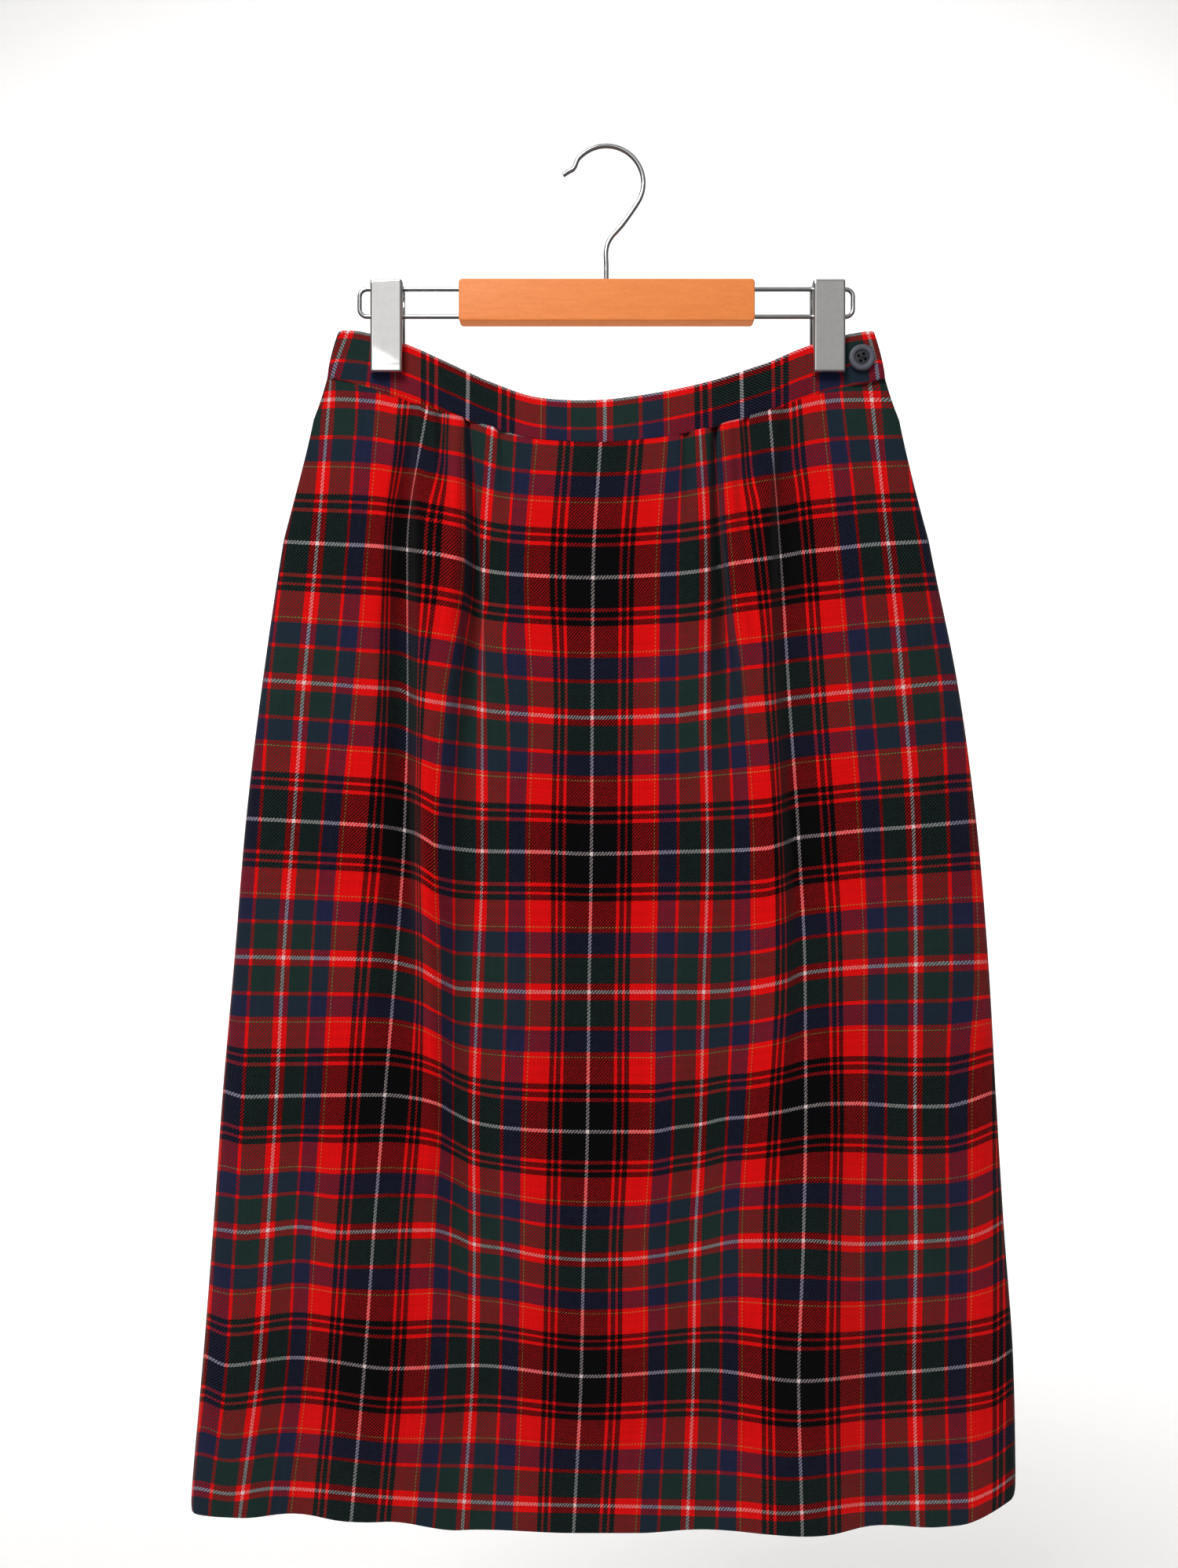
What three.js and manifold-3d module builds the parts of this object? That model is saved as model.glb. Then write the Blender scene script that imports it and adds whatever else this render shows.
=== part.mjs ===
// A wool tartan skirt hanging from a clip hanger.
// Millimetres, +Z up, +X to the viewer's right, the skirt's front faces -Y.
// The origin is the underside of the hook's crown, where a rail or a wall hook carries it.

import * as THREE from 'three';
import { mergeVertices } from 'three/addons/utils/BufferGeometryUtils.js';
import Module from 'manifold-3d';

const wasm = await Module();
wasm.setup();

// ---------------------------------------------------------------- driving dimensions

const CLOTH = { wall: 1.5, seamGap: 0.3, underBand: 0.2, seamReach: 14 };
const BAND = {
  wall: 2.0, overlapStart: 151, frontEnd: 172.2, widest: 9.5, backSteps: 30,
  taperLeft: 6.8, taperRight: 7.0, taperFrom: 140, taperEase: 1.4, backDip: 2.4, dipReach: 140,
};
const BAND_FOLD = {
  left: { x: -171, y: 0, reach: 2.2, half: 2.45 },
  right: { x: 170.6, y: 0.05, reach: 2.35, half: 2.35 },
  angles: [-60, -20, 20, 60],
};
const BAND_BOW = { heldY: 2.4, bow: 4.2, reach: 122 };
const HEM_SEAM_Y = 1.5;

const HOOK = {
  wire: 3, crownRadius: 23, crownStart: -37, crownEnd: 140, crownStep: 9, seat: 12,
  tip: [[-26.8, -16.6], [-23.6, -14.6], [-20.4, -12.6]],
  shoulder: [[10, -47.4], [2.2, -56.6]],
  stemTop: -62.8, stemMiddle: -74,
};
const BAR = { left: -91.2, right: 91.7, top: -82.8, bottom: -109.0, depth: 12, corner: 2.2, bevel: 0.8 };
const LOOP = { wire: 2.8, upperZ: -87.6, lowerZ: -104.6, outer: 153.2, corner: 4.6, seat: 12 };
const CLIP = {
  width: 19.6, top: -84.4, bottom: -141.2, sheet: 1.2, halfDepth: 9,
  wireGap: 1.8, clothGap: 3.0, jawY: 2.7, jawHeight: 4.5, shoulderZ: -110,
  springRadius: 6.4, springZ: -96.1, leftX: -135.6, rightX: 137.3,
  footBevel: 1.5, jawSlope: 1.5, shoulderSlope: 3, topChamfer: 3, topBack: 2, flangeInset: 0.2, jawInset: 0.3,
};
const BUTTON = {
  x: 157.5, z: -131.9, radius: 8, thickness: 3.2, backY: -4.95,
  dishRadius: 4.6, dishDepth: 1.0, holeRadius: 1.0, holePitch: 3.1, holeTurn: 21.5, edge: 0.9, sides: 24,
};
const PLAY = 0.3;

// The waist, as it hangs between the two clips: the band's top edge and its seam to the panels.
// x across, topZ and seamZ on the front, topY and seamY the front's outer face there.
const WAIST = [
  { x: -173.2, topZ: -113.3, seamZ: -143.0, topY: -2.5, seamY: -2.5 },
  { x: -150, topZ: -115.0, seamZ: -149.0, topY: -2.4, seamY: -2.4 },
  { x: -124, topZ: -122.0, seamZ: -157.9, topY: -2.4, seamY: -2.5 },
  { x: -100, topZ: -132.8, seamZ: -166.0, topY: -3.0, seamY: -6.0 },
  { x: -75, topZ: -144.6, seamZ: -175.0, topY: -3.8, seamY: -9.4 },
  { x: -45, topZ: -155.2, seamZ: -183.0, topY: -4.7, seamY: -12.0 },
  { x: -8, topZ: -157.5, seamZ: -185.6, topY: -5.2, seamY: -13.0 },
  { x: 30, topZ: -153.0, seamZ: -183.0, topY: -5.0, seamY: -12.4 },
  { x: 65, topZ: -145.2, seamZ: -176.0, topY: -4.0, seamY: -10.2 },
  { x: 100, topZ: -133.8, seamZ: -165.6, topY: -3.0, seamY: -6.0 },
  { x: 126, topZ: -122.8, seamZ: -156.4, topY: -2.4, seamY: -2.5 },
  { x: 149, topZ: -116.8, seamZ: -149.5, topY: -2.4, seamY: -2.4 },
  { x: 158, topZ: -115.8, seamZ: -147.4, topY: -4.6, seamY: -4.6 },
  { x: 173.2, topZ: -114.3, seamZ: -144.0, topY: -4.6, seamY: -4.6 },
];

// The front panel's sections, one for each line of the check below the seam.
// z and y at the middle, the side edges, how far the section rises to each edge, at which
// distance from the middle the step in that rise comes, and the step's share of the rise;
// over a share of 1 the section sinks again from the step to the edge.
const FRONT_SECTIONS = tableOf(
  ['z', 'y', 'left', 'right', 'riseL', 'riseR', 'stepL', 'stepR', 'shareL', 'shareR'], [
    [-268.7, -19, -200.4, 200.2, 24.5, 25.0, 88, 92, 0.55, 0.55],
    [-354.5, -22, -213.6, 218.2, 23.0, 22.5, 104, 104, 0.62, 0.62],
    [-437.3, -24, -223.8, 230.0, 21.0, 19.0, 110, 112, 0.68, 0.68],
    [-520.7, -25, -231.0, 237.4, 18.7, 17.0, 106, 112, 0.72, 0.72],
    [-604.9, -25, -238.4, 242.2, 18.6, 17.5, 98, 100, 0.74, 0.74],
    [-682.8, -23, -244.4, 247.2, 12.8, 13.5, 88, 84, 0.7, 0.7],
    [-755.0, -19, -250.4, 252.8, 7.5, 9.0, 92, 110, 0.45, 0.45],
    [-835.0, -16, -257.6, 254.6, 4.4, 14.0, 112, 238, 2.1, 0.8],
    [-851.4, -15.5, -257.8, 253.8, 4.6, 16.0, 112, 240, 2.1, 0.8],
  ]);

// The back panel hangs from the same side seams and lies flatter.
const BACK_DEPTH = [
  { z: -180, y: 5.5 },
  { z: -270, y: 10.5 },
  { z: -440, y: 14 },
  { z: -610, y: 15 },
  { z: -760, y: 13 },
  { z: -860, y: 12 },
];

// Folds. Each row is one stop down a fold: z, its valley's x, how deep it is towards the back
// (a negative depth is a ridge), its half width on the side away from the middle and on the
// side towards it, and how far its floor slips outwards under the flap.
const FRONT_FOLDS = [
  { name: 'inner_tuck_left', anchor: true, stops: [
    { z: -172, x: -83, depth: 5.5, outer: 5, inner: 7, slip: 3 },
    { z: -215, x: -81, depth: 14, outer: 6.5, inner: 9, slip: 6 },
    { z: -270, x: -80.5, depth: 16, outer: 8, inner: 11, slip: 5 },
    { z: -350, x: -82, depth: 11, outer: 14, inner: 16, slip: 2 },
    { z: -440, x: -85, depth: 8, outer: 24, inner: 26, slip: 0 },
    { z: -600, x: -84, depth: 9, outer: 26, inner: 40, slip: 0 },
    { z: -740, x: -80, depth: 5, outer: 34, inner: 50, slip: 0 },
    { z: -860, x: -80, depth: 4, outer: 36, inner: 62, slip: 0 },
  ] },
  { name: 'outer_tuck_left', anchor: true, stops: [
    { z: -158, x: -120, depth: 2.2, outer: 5, inner: 5, slip: 0 },
    { z: -215, x: -124.5, depth: 9, outer: 12, inner: 10, slip: 0 },
    { z: -300, x: -124.5, depth: 13, outer: 17, inner: 12, slip: 1 },
    { z: -440, x: -121, depth: 14, outer: 20, inner: 12, slip: 2 },
    { z: -530, x: -119, depth: 9, outer: 24, inner: 16, slip: 0 },
    { z: -640, x: -118, depth: 1, outer: 24, inner: 20, slip: 0 },
    { z: -860, x: -118, depth: 0, outer: 24, inner: 20, slip: 0 },
  ] },
  { name: 'inner_tuck_right', anchor: true, stops: [
    { z: -176, x: 67, depth: 5.5, outer: 5, inner: 5, slip: 3 },
    { z: -215, x: 69, depth: 14, outer: 6, inner: 7, slip: 5 },
    { z: -270, x: 71, depth: 15, outer: 8, inner: 10, slip: 4 },
    { z: -350, x: 76, depth: 9, outer: 13, inner: 18, slip: 2 },
    { z: -440, x: 82, depth: 5, outer: 22, inner: 30, slip: 0 },
    { z: -600, x: 70, depth: 5, outer: 34, inner: 40, slip: 0 },
    { z: -740, x: 58, depth: 5, outer: 40, inner: 44, slip: 0 },
    { z: -860, x: 58, depth: 4, outer: 40, inner: 40, slip: 0 },
  ] },
  { name: 'outer_tuck_right', anchor: true, stops: [
    { z: -162, x: 111, depth: 2.8, outer: 6, inner: 6, slip: 0 },
    { z: -215, x: 108, depth: 8, outer: 13, inner: 9, slip: 0 },
    { z: -300, x: 110, depth: 11, outer: 16, inner: 12, slip: 0 },
    { z: -440, x: 115, depth: 11, outer: 20, inner: 13, slip: 1 },
    { z: -530, x: 118, depth: 8, outer: 24, inner: 16, slip: 0 },
    { z: -640, x: 112, depth: 3, outer: 24, inner: 24, slip: 0 },
    { z: -860, x: 100, depth: 0, outer: 24, inner: 24, slip: 0 },
  ] },
  { name: 'short_gather_left', stops: [
    { z: -165, x: -102, depth: 3.2, outer: 4.5, inner: 4.5, slip: 1 },
    { z: -185, x: -101, depth: 3.6, outer: 5, inner: 5, slip: 1 },
    { z: -225, x: -101, depth: 0, outer: 6, inner: 6, slip: 0 },
  ] },
  { name: 'small_gather_left', stops: [
    { z: -178, x: -64, depth: 3, outer: 4.5, inner: 4.5, slip: 1 },
    { z: -198, x: -63, depth: 2.6, outer: 5, inner: 5, slip: 0 },
    { z: -235, x: -62, depth: 0, outer: 6, inner: 6, slip: 0 },
  ] },
  { name: 'small_gather_right', stops: [
    { z: -180, x: 48, depth: 3, outer: 4.5, inner: 4.5, slip: 1 },
    { z: -200, x: 49, depth: 2.6, outer: 5, inner: 5, slip: 0 },
    { z: -240, x: 50, depth: 0, outer: 6, inner: 6, slip: 0 },
  ] },
  { name: 'short_gather_right', stops: [
    { z: -168, x: 85, depth: 3.4, outer: 4.5, inner: 4.5, slip: 1 },
    { z: -188, x: 87, depth: 3.8, outer: 5, inner: 5, slip: 1 },
    { z: -240, x: 90, depth: 0, outer: 6, inner: 6, slip: 0 },
  ] },
  { name: 'ridge_left', stops: [
    { z: -190, x: -102, depth: 0, outer: 16, inner: 16, slip: 0 },
    { z: -300, x: -103, depth: -4, outer: 18, inner: 16, slip: 0 },
    { z: -450, x: -106, depth: -6, outer: 18, inner: 24, slip: 0 },
    { z: -600, x: -118, depth: -5, outer: 34, inner: 34, slip: 0 },
    { z: -740, x: -142, depth: -4, outer: 44, inner: 44, slip: 0 },
    { z: -860, x: -145, depth: -5, outer: 44, inner: 44, slip: 0 },
  ] },
  { name: 'ridge_right', stops: [
    { z: -190, x: 90, depth: 0, outer: 16, inner: 16, slip: 0 },
    { z: -300, x: 92, depth: -3.5, outer: 16, inner: 16, slip: 0 },
    { z: -450, x: 98, depth: -4, outer: 18, inner: 24, slip: 0 },
    { z: -600, x: 124, depth: -4, outer: 34, inner: 34, slip: 0 },
    { z: -740, x: 122, depth: -5, outer: 44, inner: 44, slip: 0 },
    { z: -860, x: 122, depth: -5, outer: 44, inner: 44, slip: 0 },
  ] },
  { name: 'hem_ripple_left', stops: [
    { z: -560, x: -190, depth: 0, outer: 30, inner: 30, slip: 0 },
    { z: -760, x: -194, depth: 5, outer: 30, inner: 34, slip: 0 },
    { z: -860, x: -194, depth: 6, outer: 30, inner: 34, slip: 0 },
  ] },
  { name: 'hem_ripple_right', stops: [
    { z: -560, x: 160, depth: 0, outer: 36, inner: 36, slip: 0 },
    { z: -760, x: 168, depth: 5, outer: 36, inner: 36, slip: 0 },
    { z: -860, x: 168, depth: 6, outer: 36, inner: 36, slip: 0 },
  ] },
];

const BACK_FOLDS = [
  { name: 'back_tuck_left', anchor: true, stops: [
    { z: -160, x: -92, depth: 2.5, outer: 6, inner: 6, slip: 0 },
    { z: -230, x: -92, depth: 6, outer: 12, inner: 12, slip: 0 },
    { z: -430, x: -96, depth: 6, outer: 24, inner: 24, slip: 0 },
    { z: -860, x: -104, depth: 3, outer: 40, inner: 40, slip: 0 },
  ] },
  { name: 'back_tuck_right', anchor: true, stops: [
    { z: -160, x: 86, depth: 2.5, outer: 6, inner: 6, slip: 0 },
    { z: -230, x: 86, depth: 6.5, outer: 12, inner: 12, slip: 0 },
    { z: -430, x: 92, depth: 6, outer: 24, inner: 24, slip: 0 },
    { z: -860, x: 100, depth: 3, outer: 40, inner: 40, slip: 0 },
  ] },
  { name: 'back_ripple_left', stops: [
    { z: -200, x: -30, depth: 0, outer: 24, inner: 24, slip: 0 },
    { z: -500, x: -36, depth: 3, outer: 34, inner: 34, slip: 0 },
    { z: -860, x: -40, depth: 5, outer: 36, inner: 36, slip: 0 },
  ] },
  { name: 'back_ripple_right', stops: [
    { z: -260, x: 150, depth: 0, outer: 24, inner: 24, slip: 0 },
    { z: -560, x: 158, depth: 4, outer: 34, inner: 34, slip: 0 },
    { z: -860, x: 160, depth: 6, outer: 36, inner: 36, slip: 0 },
  ] },
  { name: 'back_ridge', stops: [
    { z: -300, x: 30, depth: 0, outer: 40, inner: 40, slip: 0 },
    { z: -600, x: 34, depth: -4, outer: 44, inner: 44, slip: 0 },
    { z: -860, x: 36, depth: -4, outer: 44, inner: 44, slip: 0 },
  ] },
];

const FRONT_GRID = { rows: 21, widest: 13 };
const BACK_GRID = { rows: 15, widest: 17 };

// The panels' grids: where stations stand by the side rolls and on the folds, how close two of
// them may lie, and how strongly the rows crowd towards the seam.
const STATIONS = {
  sideShares: [0.02, 0.055, 0.11, 0.19], anchorShares: [-2, -1, -0.5, 0, 0.5, 1, 2],
  gatherShares: [-1, 0, 1], closest: 0.9, crowding: 1.25,
};
// The sections' form: the roll to the side seams at the waist and once full, the share of the
// height by which it is full, where the two panels' edges part, and the step in a section's rise.
const ROLL = {
  pinched: 1.5, rolled: 4.5, fullBy: 0.16, apartFrom: 0.02, apartTo: 0.2, stepHalf: 24, edgePower: 3,
};

// ---------------------------------------------------------------- small helpers

const { clamp, lerp, smoothstep, degToRad } = THREE.MathUtils;

function look(color, roughness, metalness = 0) {
  return new THREE.MeshStandardMaterial({ color, roughness, metalness });
}

// A table from the names of its columns and its rows of numbers.
function tableOf(columns, rows) {
  return rows.map((row) => Object.fromEntries(columns.map((name, n) => [name, row[n]])));
}

// A column of a table, read at a place along its key column.
function readTable(table, key, column, at, smooth = false) {
  const rising = table[table.length - 1][key] > table[0][key];
  let i = 0;
  while (i < table.length - 2 && (rising ? at > table[i + 1][key] : at < table[i + 1][key])) i += 1;
  const span = table[i + 1][key] - table[i][key];
  const share = clamp((at - table[i][key]) / span, 0, 1);
  if (!smooth) return lerp(table[i][column], table[i + 1][column], share);
  const before = table[Math.max(i - 1, 0)][column];
  const after = table[Math.min(i + 2, table.length - 1)][column];
  const [p, q] = [table[i][column], table[i + 1][column]];
  const [m, n] = [(q - before) / 2, (after - p) / 2];
  const s2 = share * share;
  const s3 = s2 * share;
  return (2 * s3 - 3 * s2 + 1) * p + (s3 - 2 * s2 + share) * m + (3 * s2 - 2 * s3) * q + (s3 - s2) * n;
}

function geometryFrom(points, faces) {
  const geometry = new THREE.BufferGeometry();
  geometry.setAttribute('position', new THREE.Float32BufferAttribute(points.flat(), 3));
  geometry.setIndex(faces.flat());
  geometry.computeVertexNormals();
  return geometry;
}

// A closed wall between an outer and an inner grid of points of the same size.
function wallBetween(outer, inner) {
  const rows = outer.length;
  const columns = outer[0].length;
  const points = [...outer.flat(), ...inner.flat()];
  const o = (r, c) => r * columns + c;
  const i = (r, c) => rows * columns + r * columns + c;
  const faces = [];
  const quad = (a, b, c, d) => faces.push([a, b, c], [a, c, d]);
  for (let r = 0; r < rows - 1; r += 1) {
    for (let c = 0; c < columns - 1; c += 1) {
      quad(o(r, c), o(r + 1, c), o(r + 1, c + 1), o(r, c + 1));
      quad(i(r, c), i(r, c + 1), i(r + 1, c + 1), i(r + 1, c));
    }
  }
  for (let c = 0; c < columns - 1; c += 1) {
    quad(o(0, c), o(0, c + 1), i(0, c + 1), i(0, c));
    quad(o(rows - 1, c), i(rows - 1, c), i(rows - 1, c + 1), o(rows - 1, c + 1));
  }
  for (let r = 0; r < rows - 1; r += 1) {
    quad(o(r, 0), i(r, 0), i(r + 1, 0), o(r + 1, 0));
    quad(o(r, columns - 1), o(r + 1, columns - 1), i(r + 1, columns - 1), i(r, columns - 1));
  }
  return geometryFrom(points, faces);
}

// The inner face of a panel: its outer points moved in by the wall's thickness. At the side seams
// it stays on its own side of the plane between front and back; side is -1 in front, +1 behind.
function innerFace(outer, side) {
  const inner = moveInward(outer, CLOTH.wall);
  inner[0].forEach((point) => {
    point[2] = Math.min(point[2], seamHeight(point[0]));
  });
  const half = CLOTH.seamGap / 2;
  inner.forEach((row, r) => {
    const down = panelDown(r / (outer.length - 1));
    const plane = HEM_SEAM_Y * down + side * half;
    for (const [end, next] of [[0, 1], [row.length - 1, row.length - 2]]) {
      const [x, y, z] = outer[r][end];
      const lift = Math.abs(y - plane) / CLOTH.wall;
      const into = Math.sign(outer[r][next][0] - x) * CLOTH.wall * Math.sqrt(Math.max(1 - lift * lift, 0));
      row[end] = [x + into, plane, z];
    }
    row.forEach((point) => {
      const ends = [row[0][0], row[row.length - 1][0]];
      const nearest = Math.min(...ends.map((end) => Math.abs(point[0] - end)));
      if (nearest < CLOTH.seamReach) point[1] = side * Math.max(side * point[1], side * plane);
    });
  });
  return inner;
}

// The same grid, moved along its normals by a thickness.
function moveInward(grid, thickness) {
  const at = (r, c) => new THREE.Vector3(...grid[r][c]);
  const last = grid.length - 1;
  const end = grid[0].length - 1;
  return grid.map((row, r) => row.map((point, c) => {
    const down = at(Math.min(r + 1, last), c).sub(at(Math.max(r - 1, 0), c));
    const across = at(r, Math.min(c + 1, end)).sub(at(r, Math.max(c - 1, 0)));
    const outward = down.cross(across).normalize();
    return new THREE.Vector3(...point).addScaledVector(outward, -thickness).toArray();
  }));
}

function toManifold(geometry) {
  const plain = geometry.clone();
  plain.deleteAttribute('normal');
  plain.deleteAttribute('uv');
  const merged = mergeVertices(plain, 1e-4);
  const solid = new wasm.Mesh({
    numProp: 3,
    vertProperties: new Float32Array(merged.attributes.position.array),
    triVerts: new Uint32Array(merged.index.array),
  });
  return new wasm.Manifold(solid);
}

function fromManifold(manifold) {
  const mesh = manifold.getMesh();
  const geometry = new THREE.BufferGeometry();
  geometry.setAttribute('position', new THREE.BufferAttribute(mesh.vertProperties, 3));
  geometry.setIndex(new THREE.BufferAttribute(mesh.triVerts, 1));
  return geometry;
}

function tube(path, radius, sides, steps) {
  const section = new THREE.Shape();
  section.absarc(0, 0, radius, 0, 2 * Math.PI, false);
  const options = { steps, bevelEnabled: false, extrudePath: path, curveSegments: sides / 2 };
  return new THREE.ExtrudeGeometry(section, options);
}

function cylinder(radius, length, sides, axis) {
  const geometry = new THREE.CylinderGeometry(radius, radius, length, sides);
  if (axis === 'x') geometry.rotateZ(Math.PI / 2);
  if (axis === 'z') geometry.rotateX(Math.PI / 2);
  return geometry;
}

// An outline in the Y-Z plane, extruded along X between two places.
function plateAcrossX(outline, from, to) {
  const shape = new THREE.Shape(outline.map(([y, z]) => new THREE.Vector2(y, z)));
  const geometry = new THREE.ExtrudeGeometry(shape, { depth: to - from, bevelEnabled: false });
  const turn = new THREE.Matrix4().makeBasis(
    new THREE.Vector3(0, 1, 0), new THREE.Vector3(0, 0, 1), new THREE.Vector3(1, 0, 0));
  geometry.applyMatrix4(turn);
  return geometry.translate(from, 0, 0);
}

// ---------------------------------------------------------------- the panels' shape

// A fold's sizes at a height; above its first stop and below its last they stay as there.
function foldAt(fold, z) {
  const read = (column) => readTable(fold.stops, 'z', column, z, false);
  return {
    x: read('x'), depth: read('depth'), outer: read('outer'), inner: read('inner'), slip: read('slip'),
  };
}

function valley(q) {
  return Math.abs(q) < 1 ? 0.5 + 0.5 * Math.cos(Math.PI * q) : 0;
}

// How far the folds carry a point of the plain section sideways and towards the other panel.
function foldShift(folds, x, z) {
  let across = 0;
  let inward = 0;
  for (const fold of folds) {
    const stop = foldAt(fold, z);
    const outside = (x - stop.x) * Math.sign(stop.x) > 0;
    const share = valley((x - stop.x) / (outside ? stop.outer : stop.inner));
    inward += stop.depth * share;
    across += Math.sign(stop.x) * stop.slip * share;
  }
  return { across, inward };
}

// The same places with more between them, none further apart than asked.
function fillBetween(places, widest) {
  const filled = [places[0]];
  for (const x of places.slice(1)) {
    const from = filled[filled.length - 1];
    const parts = Math.ceil((x - from) / widest);
    for (let n = 1; n <= parts; n += 1) filled.push(lerp(from, x, n / parts));
  }
  return filled;
}

// Places across the seam: at each fold, at the side rolls, and between them no wider than asked.
function stationsAcross(folds, widest, edges) {
  const places = new Set([edges.left, edges.right]);
  const half = (edges.right - edges.left) / 2;
  for (const share of STATIONS.sideShares) {
    places.add(edges.left + share * half);
    places.add(edges.right - share * half);
  }
  for (const fold of folds) {
    const top = fold.stops[0];
    if (top.depth <= 0 && !fold.anchor) continue;
    for (const share of fold.anchor ? STATIONS.anchorShares : STATIONS.gatherShares) {
      places.add(top.x + share * (share < 0 ? top.inner : top.outer) * Math.sign(top.x));
    }
  }
  const sorted = [...places].sort((a, b) => a - b);
  const apart = sorted.filter((x, n) => n === 0 || x - sorted[n - 1] > STATIONS.closest);
  return fillBetween(apart, widest);
}

// Keeps a station on the same fold all the way down.
function followFolds(x, anchors, z, edgesTop, edges) {
  const top = anchors.map((fold) => fold.stops[0].x);
  const here = anchors.map((fold) => foldAt(fold, z).x);
  const from = [edgesTop.left, ...top, edgesTop.right];
  const to = [edges.left, ...here, edges.right];
  let n = 0;
  while (n < from.length - 2 && x > from[n + 1]) n += 1;
  return lerp(to[n], to[n + 1], (x - from[n]) / (from[n + 1] - from[n]));
}

// A section's plan: flat by the pinched waist, rolled round to the side seam further down.
function sectionFullness(across, down) {
  const pinched = (1 - across * across) ** ROLL.pinched;
  const rolled = Math.sqrt(Math.max(1 - Math.abs(across) ** ROLL.rolled, 0));
  return lerp(pinched, rolled, smoothstep(down, 0, ROLL.fullBy));
}

const HEM = FRONT_SECTIONS[FRONT_SECTIONS.length - 1];
const SEAM_EDGES = { left: WAIST[0].x, right: WAIST[WAIST.length - 1].x };
const SEAM_ROW = { z: -185.6, left: SEAM_EDGES.left, right: SEAM_EDGES.right };
const HIP_ROW = { z: -212, left: -181.4, right: 181.6 };
const SIDES = [SEAM_ROW, HIP_ROW, ...FRONT_SECTIONS];
const FRONT_DEPTH = [{ z: SEAM_ROW.z, y: -13 }, ...FRONT_SECTIONS];

function seamHeight(x) {
  return readTable(WAIST, 'x', 'seamZ', x, true) - CLOTH.seamGap - CLOTH.underBand;
}

// The height of a section at x: level in the middle, stepped up across the folds to each side.
function sectionHeight(section, x, edges) {
  const left = x < 0;
  const reach = Math.abs(x / (left ? edges.left : edges.right));
  const step = left ? section.stepL : section.stepR;
  const jump = smoothstep(Math.abs(x), step - ROLL.stepHalf, step + ROLL.stepHalf);
  const rise = left ? section.riseL : section.riseR;
  const share = left ? section.shareL : section.shareR;
  return section.z + rise * (share * jump + (1 - share) * reach ** ROLL.edgePower);
}

// Heights of one column at every section, seam first.
function columnHeights(x, anchors, folds) {
  const slipped = x + foldShift(folds, x, seamHeight(x)).across;
  const heights = [{ z: SEAM_ROW.z, at: seamHeight(slipped) }];
  for (const section of FRONT_SECTIONS) {
    const edges = { left: section.left, right: section.right };
    const here = followFolds(x, anchors, section.z, SEAM_EDGES, edges);
    heights.push({ z: section.z, at: sectionHeight(section, here, edges) });
  }
  return heights;
}

// A point of a panel's outer face; side is -1 in front and +1 behind.
function panelPoint(panel, column, middleZ, anchors) {
  const { side, folds, depth, fadeOver, fadeFrom } = panel;
  const down = (SEAM_ROW.z - middleZ) / (SEAM_ROW.z - HEM.z);
  const edges = {
    left: readTable(SIDES, 'z', 'left', middleZ, true),
    right: readTable(SIDES, 'z', 'right', middleZ, true),
  };
  const place = followFolds(column.x, anchors, middleZ, SEAM_EDGES, edges);
  const across = clamp((2 * place - edges.left - edges.right) / (edges.right - edges.left), -1, 1);
  const z = readTable(column.heights, 'z', 'at', middleZ, true);
  const seamY = HEM_SEAM_Y * down + side * edgeStandOff(down);
  const middleY = readTable(depth, 'z', 'y', middleZ, true);
  const plain = seamY + (middleY - seamY) * sectionFullness(across, down);
  const shift = foldShift(folds, place, z);
  const fade = clamp(side * (plain - seamY) / fadeOver + fadeFrom, 0, 1);
  return [place + shift.across, plain - side * shift.inward * fade, z];
}

// The rows lie closer together near the seam, where the tucks are short.
function panelDown(share) {
  return share ** STATIONS.crowding;
}

// How far a panel's outer face stands from the seam plane at its side edge.
function edgeStandOff(down) {
  return CLOTH.seamGap / 2 + CLOTH.wall * (1 - smoothstep(down, ROLL.apartFrom, ROLL.apartTo));
}

function panelGrid(panel) {
  const { folds, grid } = panel;
  const anchors = folds.filter((fold) => fold.anchor).sort((a, b) => a.stops[0].x - b.stops[0].x);
  const stations = stationsAcross(folds, grid.widest, SEAM_EDGES);
  const columns = stations.map((x) => ({ x, heights: columnHeights(x, anchors, folds) }));
  const rows = [];
  for (let r = 0; r <= grid.rows; r += 1) {
    const middleZ = lerp(SEAM_ROW.z, HEM.z, panelDown(r / grid.rows));
    rows.push(columns.map((column) => panelPoint(panel, column, middleZ, anchors)));
  }
  return rows;
}

// The folds fade out by the side seams over this much of the panel's stand-off.
const FRONT_PANEL = {
  side: -1, folds: FRONT_FOLDS, grid: FRONT_GRID, depth: FRONT_DEPTH, fadeOver: 3, fadeFrom: 0.2,
};
const BACK_PANEL = {
  side: 1, folds: BACK_FOLDS, grid: BACK_GRID, depth: BACK_DEPTH, fadeOver: 5, fadeFrom: 0,
};

function skirtFront() {
  const outer = panelGrid(FRONT_PANEL);
  return wallBetween(outer, innerFace(outer, FRONT_PANEL.side));
}

function skirtBack() {
  const outer = panelGrid(BACK_PANEL).map((row) => row.reverse());
  return wallBetween(outer, innerFace(outer, BACK_PANEL.side));
}

// ---------------------------------------------------------------- the waistband

// The back of the band lies just behind the front where the clips hold both, and bows away between.
function backBandY(x) {
  return BAND_BOW.heldY + BAND_BOW.bow * clamp(1 - (x / BAND_BOW.reach) ** 2, 0, 1);
}

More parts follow.
